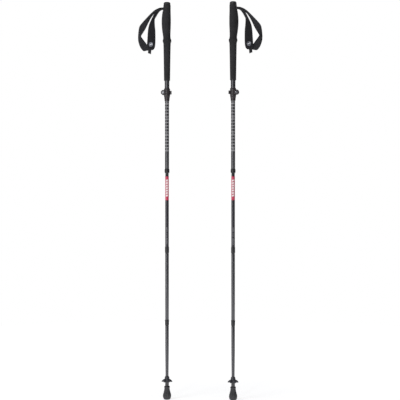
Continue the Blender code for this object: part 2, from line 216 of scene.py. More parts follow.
@dataclass(frozen=True)
class CellFoam(Finish):
    """EVA foam, cut and ground to shape. Grinding opens its cells, so it is dull and finely pitted."""

    cell_mm: float = 0.9  # its cells are about 0.3 mm, drawn coarser so that they show
    worn_mm: float = 28.0

    def height(self, tree: Tree, place: Node) -> Socket:
        """Open cells.

        Args:
            tree: The material's node tree.
            place: The texture coordinate node.

        Returns:
            The output that carries the relief.
        """
        cells = add_node(
            tree,
            "ShaderNodeTexVoronoi",
            {"Scale": 1 / (self.cell_mm * MM), "Randomness": 1.0},
            {"Vector": place.outputs["Object"]},
        )
        return cells.outputs["Distance"]

    def tint(self, tree: Tree, place: Node, height: Socket) -> Socket:
        """Cell walls are painted lighter as a painted highlight, with painted shade in the pits between
        them, and rubbed patches a few centimetres long are greyer.

        Args:
            tree: The material's node tree.
            place: The texture coordinate node.
            height: The output that carries the relief.

        Returns:
            The output that carries the shade.
        """
        worn = add_node(
            tree,
            "ShaderNodeTexNoise",
            {"Scale": 1 / (self.worn_mm * MM), "Detail": 4.0},
            {"Vector": place.outputs["Object"]},
        )
        # the cells' relief goes into the colour: painted highlight on the cell walls, painted shade in the
        # pits; the noise is real wear
        mixed = add_node(
            tree,
            "ShaderNodeMath",
            {"operation": "MULTIPLY_ADD", 1: 0.45},
            {0: height, 2: worn.outputs["Fac"]},
        )
        return add_node(
            tree, "ShaderNodeMapRange", {"From Min": 0.35, "From Max": 1.0}, {"Value": mixed.outputs[0]}
        ).outputs["Result"]


@dataclass(frozen=True)
class MouldedPlastic(Finish):
    """Injection-moulded nylon or ABS. The spark-eroded mould leaves an even satin grain."""

    grain_mm: float = 0.5
    rubbed_mm: float = 9.0

    def height(self, tree: Tree, place: Node) -> Socket:
        """The mould's grain.

        Args:
            tree: The material's node tree.
            place: The texture coordinate node.

        Returns:
            The output that carries the relief.
        """
        grain = add_node(
            tree,
            "ShaderNodeTexNoise",
            {"Scale": 1 / (self.grain_mm * MM), "Detail": 2.0, "Roughness": 0.6},
            {"Vector": place.outputs["Object"]},
        )
        return grain.outputs["Fac"]

    def tint(self, tree: Tree, place: Node, height: Socket) -> Socket:
        """Faint rubbed patches about 9 mm across, over the grain.

        Args:
            tree: The material's node tree.
            place: The texture coordinate node.
            height: The output that carries the relief.

        Returns:
            The output that carries the shade.
        """
        rubbed = add_node(
            tree,
            "ShaderNodeTexNoise",
            {"Scale": 1 / (self.rubbed_mm * MM), "Detail": 3.0},
            {"Vector": place.outputs["Object"]},
        )
        return add_node(
            tree, "ShaderNodeMath", {"operation": "MULTIPLY"}, {0: height, 1: rubbed.outputs["Fac"]}
        ).outputs[0]


@dataclass(frozen=True)
class DrawnTube(Finish):
    """Aluminium tube, drawn through a die and anodised: satin grey, with fine lines along its length."""

    line_mm: float = 0.7  # between die lines, drawn coarser than the real 0.1 mm
    line_length: float = 60.0  # how many times longer than wide a line is
    bath_mm: float = 60.0

    def height(self, tree: Tree, place: Node) -> Socket:
        """Die lines, 60 times longer than they are wide.

        Args:
            tree: The material's node tree.
            place: The texture coordinate node.

        Returns:
            The output that carries the relief.
        """
        drawn = add_node(
            tree,
            "ShaderNodeMapping",
            {"Scale": (1.0, 1.0, 1 / self.line_length)},
            {"Vector": place.outputs["Object"]},
        )
        lines = add_node(
            tree,
            "ShaderNodeTexNoise",
            {"Scale": 1 / (self.line_mm * MM), "Detail": 2.0},
            {"Vector": drawn.outputs["Vector"]},
        )
        return lines.outputs["Fac"]

    def tint(self, tree: Tree, place: Node, height: Socket) -> Socket:
        """Die lines, with slow changes of shade along the tube from its dye bath.

        Args:
            tree: The material's node tree.
            place: The texture coordinate node.
            height: The output that carries the relief.

        Returns:
            The output that carries the shade.
        """
        bath = add_node(
            tree,
            "ShaderNodeTexNoise",
            {"Scale": 1 / (self.bath_mm * MM), "Detail": 1.0},
            {"Vector": place.outputs["Object"]},
        )
        return add_node(
            tree,
            "ShaderNodeMath",
            {"operation": "MULTIPLY_ADD", 1: 0.5},
            {0: bath.outputs["Fac"], 2: height},
        ).outputs[0]


@dataclass(frozen=True)
class TurnedSteel(Finish):
    """Turned and plated steel: bright, with hairlines from handling."""

    scratch_mm: float = 0.6

    def height(self, tree: Tree, place: Node) -> Socket:
        """Hairlines, long in one direction.

        Args:
            tree: The material's node tree.
            place: The texture coordinate node.

        Returns:
            The output that carries the relief.
        """
        laid = add_node(
            tree,
            "ShaderNodeMapping",
            {"Scale": (1.0, 0.2, 0.06), "Rotation": (0.0, 0.6, 0.0)},
            {"Vector": place.outputs["Object"]},
        )
        return add_node(
            tree,
            "ShaderNodeTexNoise",
            {"Scale": 1 / (self.scratch_mm * MM), "Detail": 3.0},
            {"Vector": laid.outputs["Vector"]},
        ).outputs["Fac"]


@dataclass(frozen=True)
class Woven(Finish):
    """Polyester webbing or braid. Its threads run along it, and show as small lozenges across it."""

    thread_mm: tuple[float, float] = (1.3, 1.7)  # across and along, drawn coarser than the real 0.6 mm

    def height(self, tree: Tree, place: Node) -> Socket:
        """Two sets of slanting threads that pass over each other, from the piece's own lay.

        Args:
            tree: The material's node tree.
            place: The texture coordinate node.

        Returns:
            The output that carries the relief.
        """
        lay = add_node(tree, "ShaderNodeAttribute", {"attribute_name": "lay"})
        across, along = self.thread_mm
        turns, threads = math.tau / MM, []
        for slant in (1.0, -1.0):
            slanted = add_node(
                tree,
                "ShaderNodeVectorMath",
                {"operation": "DOT_PRODUCT", 1: (turns / across, slant * turns / along, 0.0)},
                {0: lay.outputs["Vector"]},
            )
            wave = add_node(tree, "ShaderNodeMath", {"operation": "SINE"}, {0: slanted.outputs["Value"]})
            threads.append(wave.outputs[0])
        over = add_node(tree, "ShaderNodeMath", {"operation": "MAXIMUM"}, {0: threads[0], 1: threads[1]})
        return add_node(
            tree, "ShaderNodeMapRange", {"From Min": -0.6, "From Max": 1.0}, {"Value": over.outputs[0]}
        ).outputs["Result"]


@dataclass(frozen=True)
class KnitFabric(Finish):
    """Brushed spacer knit over foam: soft, nearly black, with small open cells."""

    cell_mm: float = 1.6

    def height(self, tree: Tree, place: Node) -> Socket:
        """The knit's holes.

        Args:
            tree: The material's node tree.
            place: The texture coordinate node.

        Returns:
            The output that carries the relief.
        """
        return add_node(
            tree,
            "ShaderNodeTexVoronoi",
            {"Scale": 1 / (self.cell_mm * MM), "Randomness": 0.35},
            {"Vector": place.outputs["Object"]},
        ).outputs["Distance"]


@dataclass(frozen=True)
class PrintedInk(Finish):
    """Ink or enamel laid on the tube and baked: even, a little glossy, thin enough to show small specks."""

    speck_mm: float = 0.8

    def height(self, tree: Tree, place: Node) -> Socket:
        """Specks where the coat is thin.

        Args:
            tree: The material's node tree.
            place: The texture coordinate node.

        Returns:
            The output that carries the relief.
        """
        return add_node(
            tree,
            "ShaderNodeTexNoise",
            {"Scale": 1 / (self.speck_mm * MM), "Detail": 2.0},
            {"Vector": place.outputs["Object"]},
        ).outputs["Fac"]


class Finishes(Enum):
    """The finishes of this object's pieces."""

    # dead matt, near black, a little greyer where hands rub it
    GRIP_FOAM = CellFoam("EVA foam, ground", "foam", "#171718", "#343436", (0.82, 0.95), bump_mm=0.12)
    # satin, with a broad soft highlight on its dome
    CAP_NYLON = MouldedPlastic("Nylon, moulded, cap", "hard_plastic", "#222224", "#525255", (0.42, 0.60))
    # glossier, and a little warm
    CLAMP_NYLON = MouldedPlastic(
        "Nylon, moulded, clamp", "hard_plastic", "#221f20", "#5e5659", (0.28, 0.46)
    )
    # black and evenly satin
    JOINT_ABS = MouldedPlastic("ABS, moulded, joints", "hard_plastic", "#161618", "#3c3c40", (0.32, 0.50))
    # waxy and a little blue
    BASKET_PP = MouldedPlastic(
        "Polypropylene, moulded, basket", "hard_plastic", "#1f2025", "#5b5c64", (0.35, 0.50), ior=1.49
    )
    # polished, so that a clear streak of light runs down it
    FERRULE_PA = MouldedPlastic(
        "Polyamide, moulded and polished, ferrule", "hard_plastic", "#1b1c1f", "#48494e", (0.18, 0.28),
        coat=0.6,
    )
    # satin grey metal with a soft streak down each side
    TUBE_GREY = DrawnTube(
        "Aluminium, drawn and anodised grey", "anodised_tube", "#505052", "#626265", (0.28, 0.38), 0.85,
        bump_mm=0.01,
    )
    # the same metal, dyed nearly black
    TUBE_PRINTED = DrawnTube(
        "Aluminium, drawn, printed section", "printed_tube", "#414144", "#515055", (0.28, 0.38), 0.85,
        bump_mm=0.01,
    )
    # a strong cool red under a thin gloss
    BAND_RED = PrintedInk(
        "Enamel, baked red", None, "#c2294d", "#e24a6c", (0.30, 0.42), coat=0.4, bump_mm=0.01
    )
    # almost white, tinted by the red under it
    INK_PINK = PrintedInk("Ink, pale pink", None, "#fbe2e4", "#fff4f4", (0.45, 0.55), bump_mm=0.01)
    # flat greys, each a thinner coat than the last
    INK_GREY = PrintedInk("Ink, pale grey", None, "#b4b4b6", "#dededf", (0.45, 0.55), bump_mm=0.01)
    INK_SCALE = PrintedInk("Ink, scale grey", None, "#8a8a8c", "#a9a9ab", (0.45, 0.55), bump_mm=0.01)
    INK_FAINT = PrintedInk("Ink, faint grey", None, "#7e7e81", "#a3a3a6", (0.45, 0.55), bump_mm=0.01)
    # clean white with a gloss
    BAR_WHITE = PrintedInk(
        "Enamel, baked white", None, "#dcdde0", "#f8f8fa", (0.25, 0.35), coat=0.3, bump_mm=0.01
    )
    # bright, with a sharp highlight broken by hairlines
    STEEL = TurnedSteel(
        "Steel, turned and nickel-plated", "bright_metal", "#6f7074", "#b9b9bd", (0.18, 0.32), 1.0
    )
    # dull silver, cool
    BADGE = TurnedSteel(
        "Zinc, die-cast and satin-plated", "bright_metal", "#5f6269", "#92959d", (0.30, 0.42), 1.0
    )
    # plain grey metal with rolling marks
    SPRING = TurnedSteel("Spring steel, rolled", "spring_steel", "#77797c", "#a9abad", (0.25, 0.40), 1.0)
    # dark, dry grey metal
    CARBIDE = TurnedSteel(
        "Tungsten carbide, sintered", "carbide", "#5c5c60", "#86868a", (0.35, 0.50), 1.0
    )
    # matt black that shows its weave where light grazes it
    WEBBING = Woven(
        "Polyester webbing, woven", "webbing", "#0f0f12", "#2f2f34", (0.70, 0.90), sheen=0.10, bump_mm=0.22
    )
    # black with paler crossings
    CORD = Woven(
        "Polyester cord, braided", "cord_coating", "#151517", "#4a4a4e", (0.55, 0.75), bump_mm=0.12,
        thread_mm=(1.0, 1.6),
    )
    # the darkest piece, with no highlight
    PAD = KnitFabric(
        "Spacer knit, brushed", "pad_fabric", "#111114", "#1f1e23", (0.85, 0.98), sheen=0.05, bump_mm=0.10
    )
    # a finer weave than the webbing's, so a smoother black
    BINDING = Woven(
        "Edge binding, woven", "webbing", "#101013", "#2c2c31", (0.75, 0.90), sheen=0.10, bump_mm=0.08,
        thread_mm=(0.9, 1.1),
    )
    # dark grey, just paler than what it is sewn through
    THREAD = PrintedInk(
        "Polyester thread, twisted", "webbing", "#2f2f34", "#55555c", (0.60, 0.80), bump_mm=0.03
    )
    # dull and dusty grey-black
    RUBBER = MouldedPlastic(
        "Vulcanised rubber, moulded", "tip_rubber", "#27272a", "#5a5a5d", (0.62, 0.80), ior=1.52,
        bump_mm=0.05, grain_mm=0.8,
    )

    def material(self) -> bpy.types.Material:
        """This finish's material, made the first time that it is asked for."""
        return bpy.data.materials.get(self.value.name) or self.value.make()


# Shapes


def smoothstep(value: float) -> float:
    """Rises smoothly from 0 to 1 as value does, and stays flat outside."""
    t = min(max(value, 0.0), 1.0)
    return t * t * (3 - 2 * t)


def catmull(points: Sequence[Sequence[float]], steps: int) -> list[list[float]]:
    """A smooth line through points.

    Args:
        points: The points, each a row of numbers.
        steps: How many pieces each span is cut into.

    Returns:
        The points of the line.
    """
    rows = [points[0], *points, points[-1]]
    line = []
    for before, start, end, after in zip(rows, rows[1:], rows[2:], rows[3:]):
        for step in range(steps):
            t = step / steps
            line.append(
                [
                    0.5 * (
                        2 * b + (c - a) * t + (2 * a - 5 * b + 4 * c - d) * t * t
                        + (3 * b - a - 3 * c + d) * t**3
                    )
                    for a, b, c, d in zip(before, start, end, after)
                ]
            )
    line.append(list(points[-1]))
    return line


def filleted(
    outline: Outline, radius: float, closed: bool = True, steps: int = 3
) -> list[tuple[float, float]]:
    """Rounds the corners of an outline.

    Args:
        outline: Its corners.
        radius: How far each corner is cut back along its sides, at most.
        closed: Whether the last corner joins the first.
        steps: How many pieces each rounded corner has.

    Returns:
        The rounded outline. A corner on the axis of turning stays sharp.
    """
    points = [Vector(p) for p in outline]
    count = len(points)
    rounded = []
    for i, corner in enumerate(points):
        if not closed and i in (0, count - 1):
            rounded.append(tuple(corner))
            continue
        back, on = points[i - 1] - corner, points[(i + 1) % count] - corner
        cut = min(radius, back.length * LONGEST_CUT, on.length * LONGEST_CUT)
        start, end = corner + back.normalized() * cut, corner + on.normalized() * cut
        for step in range(steps + 1):
            t = step / steps
            rounded.append(tuple(start * (1 - t) ** 2 + corner * 2 * t * (1 - t) + end * t * t))
    return rounded


def ringed(rings: Sequence[Sequence[Point]], closed: bool = False) -> Shape:
    """A skin through rings of equally many points.

    Args:
        rings: The rings, in order.
        closed: Whether the last ring joins the first. Else both ends are capped.

    Returns:
        The shape.
    """
    shape = bmesh.new()
    rows = [[shape.verts.new(point) for point in ring] for ring in rings]
    pairs = list(zip(rows, rows[1:]))
    if closed:
        pairs.append((rows[-1], rows[0]))
    else:
        shape.faces.new(rows[0])
        shape.faces.new(rows[-1])
    for upper, lower in pairs:
        for i, corner in enumerate(upper):
            j = (i + 1) % len(upper)
            shape.faces.new((corner, upper[j], lower[j], lower[i]))
    bmesh.ops.recalc_face_normals(shape, faces=shape.faces[:])
    return shape


def turned(outline: Outline, sides: int = ROUND, ripple: Ripple | None = None) -> Shape:
    """A piece turned about z.

    Args:
        outline: Its (radius, z) outline, a closed loop, or from axis to axis if it starts at radius 0.
        sides: How many sides the circle has.
        ripple: Adds to the radius, from z and the angle in radians.

    Returns:
        The shape.
    """
    shape = bmesh.new()
    rows: list[list[bmesh.types.BMVert]] = []
    for radius, z in outline:
        if radius < 1e-6:
            rows.append([shape.verts.new((0, 0, z))])
            continue
        row = []
        for step in range(sides):
            angle = math.tau * step / sides
            reach = radius + (ripple(z, angle) if ripple else 0.0)
            row.append(shape.verts.new((reach * math.cos(angle), reach * math.sin(angle), z)))
        rows.append(row)
    ends = rows[1:] + ([] if len(rows[0]) == 1 else rows[:1])
    for upper, lower in zip(rows, ends):
        for i in range(sides):
            j = (i + 1) % sides
            across = [row[k % len(row)] for row, k in ((upper, i), (upper, j), (lower, j), (lower, i))]
            distinct = list(dict.fromkeys(across))
            if len(distinct) > 2:
                shape.faces.new(distinct)
    bmesh.ops.recalc_face_normals(shape, faces=shape.faces[:])
    return shape


def rod(radius: float, low: float, high: float, sides: int = ROUND) -> Shape:
    """A plain round bar about z."""
    return turned([(0, high), (radius, high), (radius, low), (0, low)], sides)


def plate(outline: Outline, low: float, high: float) -> Shape:
    """A flat piece between two heights, from its (u, y) outline."""
    return ringed([[(u, y, z) for u, y in outline] for z in (high, low)])


def swept(
    path: Sequence[Sequence[float]], radius: float, sides: int = 12
) -> tuple[Shape, list[float]]:
    """A round strand along a path.

    Args:
        path: The points that it follows.
        radius: Half its thickness.
        sides: How many sides its section has.

    Returns:
        The shape, and the lay of its threads as flat numbers, in metres.
    """
    points = [Vector(p) for p in path]
    rings, lay, run, up = [], [], 0.0, Vector((0, 1, 0))
    for i, point in enumerate(points):
        along = (points[min(i + 1, len(points) - 1)] - points[max(i - 1, 0)]).normalized()
        across = along.cross(up).normalized()
        up = across.cross(along).normalized()
        run += (point - points[i - 1]).length if i else 0.0
        turns = [math.tau * step / sides for step in range(sides)]
        rings.append([tuple(point + (across * math.cos(t) + up * math.sin(t)) * radius) for t in turns])
        for t in turns:
            lay += [radius * t * MM, run * MM, 0.0]
    return ringed(rings), lay


def box(u: tuple[float, float], y: tuple[float, float], z: tuple[float, float]) -> Shape:
    """A cutting block from (low, high) pairs."""
    return plate([(u[0], y[0]), (u[1], y[0]), (u[1], y[1]), (u[0], y[1])], *z)


def placed(shape: Shape, u: float = 0.0, y: float = 0.0, z: float = 0.0, lying: bool = False) -> Shape:
    """Moves a shape.

    Args:
        shape: The shape.
        u: How far outboard it goes.
        y: How far back.
        z: How far up.
        lying: Whether it is first turned so that its axis runs from front to back.

    Returns:
        The same shape.
    """
    turn = Matrix.Rotation(-math.pi / 2, 4, "X") if lying else Matrix.Identity(4)
    bmesh.ops.transform(shape, matrix=Matrix.Translation((u, y, z)) @ turn, verts=shape.verts[:])
    return shape


def arc(radius: float, start: float, end: float, steps: int) -> list[tuple[float, float]]:
    """Points along an arc about the origin, with angles in degrees."""
    turns = [math.radians(start + (end - start) * i / steps) for i in range(steps + 1)]
    return [(radius * math.cos(a), radius * math.sin(a)) for a in turns]


def wrapped(outline: Outline, radius: float, lift: float = 0.06, sunk: float = 0.05) -> Shape:
    """A thin print wrapped on the front of a tube.

    Args:
        outline: Its outline as (mm to the right of the front's middle, z).
        radius: The tube's radius.
        lift: How far it stands proud.
        sunk: How far it reaches into the tube.

    Returns:
        The shape, as a closed solid. Its middle faces the front.
    """
    shape = bmesh.new()
    points = []
    for (x, z), (next_x, next_z) in zip(outline, [*outline[1:], outline[0]]):
        steps = max(1, int(abs(next_x - x) / PRINT_STEP))
        points += [(x + (next_x - x) * s / steps, z + (next_z - z) * s / steps) for s in range(steps)]
    rows = []
    for reach in (radius + lift, radius - sunk):
        rows.append(
            [
                shape.verts.new((reach * math.sin(x / radius), -reach * math.cos(x / radius), z))
                for x, z in points
            ]
        )
    for row in rows:
        face = shape.faces.new(row)
        bmesh.ops.triangulate(shape, faces=[face])
    for i in range(len(points)):
        j = (i + 1) % len(points)
        shape.faces.new((rows[0][i], rows[0][j], rows[1][j], rows[1][i]))
    bmesh.ops.recalc_face_normals(shape, faces=shape.faces[:])
    return shape


def joined(shapes: Iterable[Shape]) -> Shape:
    """Puts several shapes in one mesh.

    Args:
        shapes: The shapes. They are used up.

    Returns:
        One shape of them all, each left apart.
    """
    whole = bmesh.new()
    for shape in shapes:
        mesh = bpy.data.meshes.new("joining")
        shape.to_mesh(mesh)
        shape.free()
        whole.from_mesh(mesh)
        bpy.data.meshes.remove(mesh)
    return whole


def numeral(text: str, height: float, z: float, radius: float, lift: float = 0.06) -> Shape:
    """A scale number printed on the middle of a tube's front.

    Args:
        text: The number.
        height: The height of its digits.
        z: Its middle.
        radius: The tube's radius.
        lift: How far it stands proud.

    Returns:
        The shape.
    """
    size_per_height = 1.4  # the plain built-in font's size for digits one unit tall
    curve = bpy.data.curves.new("numeral", "FONT")
    curve.body = text
    curve.size = height * size_per_height
    curve.align_x, curve.align_y = "CENTER", "CENTER"
    curve.extrude = lift
    carrier = bpy.data.objects.new("numeral", curve)
    bpy.context.scene.collection.objects.link(carrier)
    bpy.context.view_layer.update()
    depsgraph = bpy.context.evaluated_depsgraph_get()
    mesh = bpy.data.meshes.new_from_object(carrier.evaluated_get(depsgraph))
    bpy.data.objects.remove(carrier)
    bpy.data.curves.remove(curve)
    shape = bmesh.new()
    shape.from_mesh(mesh)
    bpy.data.meshes.remove(mesh)
    bmesh.ops.remove_doubles(shape, verts=shape.verts[:], dist=0.001)
    for vertex in shape.verts:
        angle = vertex.co.x / radius
        reach = radius + vertex.co.z
        vertex.co = (reach * math.sin(angle), -reach * math.cos(angle), z + vertex.co.y)
    return shape


# The poles


@dataclass
class PoleMaker:
    """Makes one pole's pieces, each in its place, on its body and in its finish."""

    side: Side
    made: list[Piece] = field(default_factory=list)

    @property
    def foot(self) -> Vector:
        """The middle of the pole's sole, in metres."""
        return Vector((self.side.value * POLE_SPACING / 2, 0, -HAND_HEIGHT)) * MM

    def world(self, u: float, y: float, z: float) -> Vector:
        """A point of the pole's frame, in metres in the shared frame."""
        return self.foot + Vector((self.side.value * u, y, z)) * MM

    def body(self, name: str) -> str:
        """The name of one of this pole's bodies. Both poles share the handles."""
        return name if name == "handles" else f"{self.side.prefix}_{name}"

    def mesh(self, name: str, shape: Shape, flip: int, sharp: float) -> bpy.types.Mesh:
        """Turns a shape in millimetres to a mesh in metres.

        Args:
            name: The mesh's name.
            shape: The shape. It is used up.
            flip: -1 where u runs to the left, else 1.
            sharp: The angle from which an edge stays sharp, in degrees.

        Returns:
            The mesh.
        """
        bmesh.ops.transform(shape, matrix=Matrix.Diagonal((flip * MM, MM, MM, 1)), verts=shape.verts[:])
        if flip < 0:
            bmesh.ops.reverse_faces(shape, faces=shape.faces[:])
        mesh = bpy.data.meshes.new(name)
        shape.to_mesh(mesh)
        shape.free()
        self.smooth(mesh, sharp)
        return mesh

    @staticmethod
    def smooth(mesh: bpy.types.Mesh, sharp: float) -> None:
        """Shades a mesh smoothly, up to an angle in degrees."""
        mesh.shade_smooth()
        mesh.set_sharp_from_angle(angle=math.radians(sharp))

    def add(
        self,
        name: str,
        shape: Shape,
        finish: Finishes,
        body: str | None,
        stands_for: Sequence[str] = (),
        sharp: float = 32.0,
        mirrored: bool = True,
    ) -> Piece:
        """Makes a piece from a shape in the pole's frame.

        Args:
            name: The piece's name, without the pole's.
            shape: The shape, in millimetres. It is used up.
            finish: What it is made of.
            body: The body it rides on, without the pole's name, or None for a piece that rides on no body.
            stands_for: The CAD nodes that it replaces, without the pole's name.
            sharp: The angle from which an edge stays sharp, in degrees.
            mirrored: Whether u runs outboard. Else it runs to the right on both poles, as print does.

        Returns:
            The piece.
        """
        flip = self.side.value if mirrored else 1
        mesh = self.mesh(f"{self.side.prefix}_{name}_looks", shape, flip, sharp)
        mesh.materials.append(finish.material())
        made = bpy.data.objects.new(mesh.name, mesh)
        bpy.context.scene.collection.objects.link(made)
        made.location = self.foot
        if body:
            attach(made, self.body(body))
        if stands_for:
            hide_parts(*(f"{self.side.prefix}_{node}" for node in stands_for))
        self.made.append(made)
        return made

    def add_lay(self, piece: Piece, lay: Sequence[float]) -> None:
        """Gives a piece the lay of its threads, as flat numbers (across, along and 0) in metres."""
        carried = piece.data.attributes.new("lay", "FLOAT_VECTOR", "POINT")
        carried.data.foreach_set("vector", lay)

    def carve(
        self,
        piece: Piece,
        tools: Iterable[Shape],
        operation: str = "DIFFERENCE",
        bevel: float = 0.0,
        sharp: float = 32.0,
    ) -> None:
        """Cuts a piece with shapes, or joins them to it, and keeps the result as its mesh.

        Args:
            piece: The piece.
            tools: The shapes, in the pole's frame. They are used up.
            operation: DIFFERENCE or UNION.
            bevel: The width that edges are rounded by afterwards, in mm, or 0.
            sharp: The angle from which an edge stays sharp, in degrees.
        """
        helpers = []
        for shape in tools:
            tool = bpy.data.objects.new("tool", self.mesh("tool", shape, self.side.value, sharp))
            bpy.context.scene.collection.objects.link(tool)
            tool.location = self.foot
            change = piece.modifiers.new("cut", "BOOLEAN")
            change.operation, change.solver, change.object = operation, "EXACT", tool
            helpers.append(tool)
        if bevel:
            edge = piece.modifiers.new("edges", "BEVEL")
            edge.width, edge.segments, edge.limit_method = bevel * MM, 3, "ANGLE"
            edge.angle_limit = math.radians(38)
        bpy.context.view_layer.update()
        depsgraph = bpy.context.evaluated_depsgraph_get()
        result = bpy.data.meshes.new_from_object(piece.evaluated_get(depsgraph))
        piece.modifiers.clear()
        old = piece.data
        piece.data = result
        bpy.data.meshes.remove(old)
        result.name = piece.name
        self.smooth(result, sharp)
        for tool in helpers:
            mesh = tool.data
            bpy.data.objects.remove(tool)
            bpy.data.meshes.remove(mesh)

    def redress(self, node: str, finish: Finishes) -> None:
        """Gives a finish to a CAD node that is shown as it is.

        Args:
            node: The node's name, without the pole's.
            finish: What it is made of.
        """
        shown = bpy.data.objects[f"{self.side.prefix}_{node}"]
        shown.data.materials.clear()
        shown.data.materials.append(finish.material())


@dataclass
class Handle:
    """The foam grip with its head cap, and the tube inside it."""

    maker: PoleMaker
    top: float = 1266.0
    end: float = 1022.5
    cap_top: float = 1275.0
    tube: tuple[float, float, float] = (7.5, 6.8, 962.5)  # radius, bore and lower end
    tube_depth: float = 27.0  # below the foam's top
    slot_height: float = 1254.0
    cap_plug: tuple[float, float] = (4.0, 4.6)  # radius and depth
    stations: tuple[tuple[float, float, float, float], ...] = (
        # z, outboard half width, inboard half width, half depth
        (1266.0, 10.8, 10.8, 10.5),
        (1265.2, 11.2, 11.2, 10.8),
        (1263.5, 11.6, 11.6, 11.0),
        (1252.0, 12.4, 11.6, 11.3),
        (1241.0, 14.8, 11.7, 11.9),
        (1222.0, 17.0, 12.2, 12.8),
        (1200.0, 17.0, 12.1, 13.0),
        (1180.0, 15.0, 11.3, 12.4),
        (1165.0, 12.8, 11.0, 11.6),
        (1157.5, 12.4, 11.9, 11.8),
        (1154.0, 13.5, 13.4, 12.8),
        (1151.0, 14.0, 14.0, 13.2),
        (1148.0, 13.6, 13.6, 12.9),
        (1143.5, 12.2, 12.3, 11.8),
        (1137.0, 11.5, 11.7, 11.3),
        (1100.0, 10.8, 10.9, 10.8),
        (1060.0, 10.2, 10.3, 10.2),
        (1026.5, 9.75, 9.8, 9.7),
        (1024.0, 9.6, 9.65, 9.55),
        (1022.5, 8.9, 9.0, 8.9),
    )

    def build(self) -> None:
        """Builds the grip, the cap and the upper tube."""
        self.build_grip()
        self.build_cap()
        (radius, bore, end), top = self.tube, self.top - self.tube_depth
        tube = filleted([(radius, end), (radius, top), (bore, top), (bore, end)], 0.15)
        self.maker.add("upper_tube", turned(tube), Finishes.TUBE_GREY, "handles", ["upper_tube"])
        self.maker.redress("strap_pin", Finishes.STEEL)

    def build_grip(self) -> None:
        """Builds the foam, bored for the tube and slotted for the strap."""
        rings = []
        for z, outboard, inboard, depth in catmull(self.stations, 7):
            ring = []
            for step in range(ROUND):
                turn = math.tau * step / ROUND
                # the two halves meet in a soft shoulder rather than a crease
                share = smoothstep(0.5 + 0.9 * math.cos(turn))
                half = inboard + (outboard - inboard) * share
                ring.append((half * math.cos(turn), depth * math.sin(turn), z))
            rings.append(ring)
        grip = self.maker.add("grip", ringed(rings), Finishes.GRIP_FOAM, "handles", ["grip"])
        bore = rod(self.tube[0] + 0.15, self.end - 5, self.top - self.tube_depth + 1)
        # the strap's slot, drawn flat as (y, z) and stood up to run outboard
        slot = [(-8.5, -3.6), (8.5, -3.6), (8.5, 2.95), (-8.5, 2.95)]
        mouth = plate(filleted(slot, 1.0, steps=5), -2.5, 25.0)
        outboard = Matrix(((0, 0, 1, 0), (1, 0, 0, 0), (0, 1, 0, 0), (0, 0, 0, 1)))
        stand = Matrix.Translation((0, 0, self.slot_height)) @ outboard
        bmesh.ops.transform(mouth, matrix=stand, verts=mouth.verts[:])
        socket = rod(self.cap_plug[0] + 0.3, self.top - 5, self.top + 5, 24)
        self.maker.carve(grip, [bore, mouth, socket])

    def build_cap(self) -> None:
        """Builds the head's moulded cap, a low dome above a shadow line."""
        peak, rim = self.cap_top, self.top - 0.15
        plug, floor = self.cap_plug[0], self.top - self.cap_plug[1]
        outline = [
            (0, peak), (5.0, peak - 0.15), (7.7, peak - 0.7), (9.4, peak - 1.8), (10.5, peak - 3.4),
            (11.0, peak - 5.4), (11.1, peak - 7.0), (10.9, rim + 1.0), (9.9, rim + 0.95), (9.9, rim + 0.3),
            (9.9, rim), (plug, rim), (plug, floor), (0, floor),
        ]
        cap = filleted(outline, 0.5, closed=False, steps=3)
        self.maker.add("head_cap", turned(cap), Finishes.CAP_NYLON, "handles", ["head_cap"])


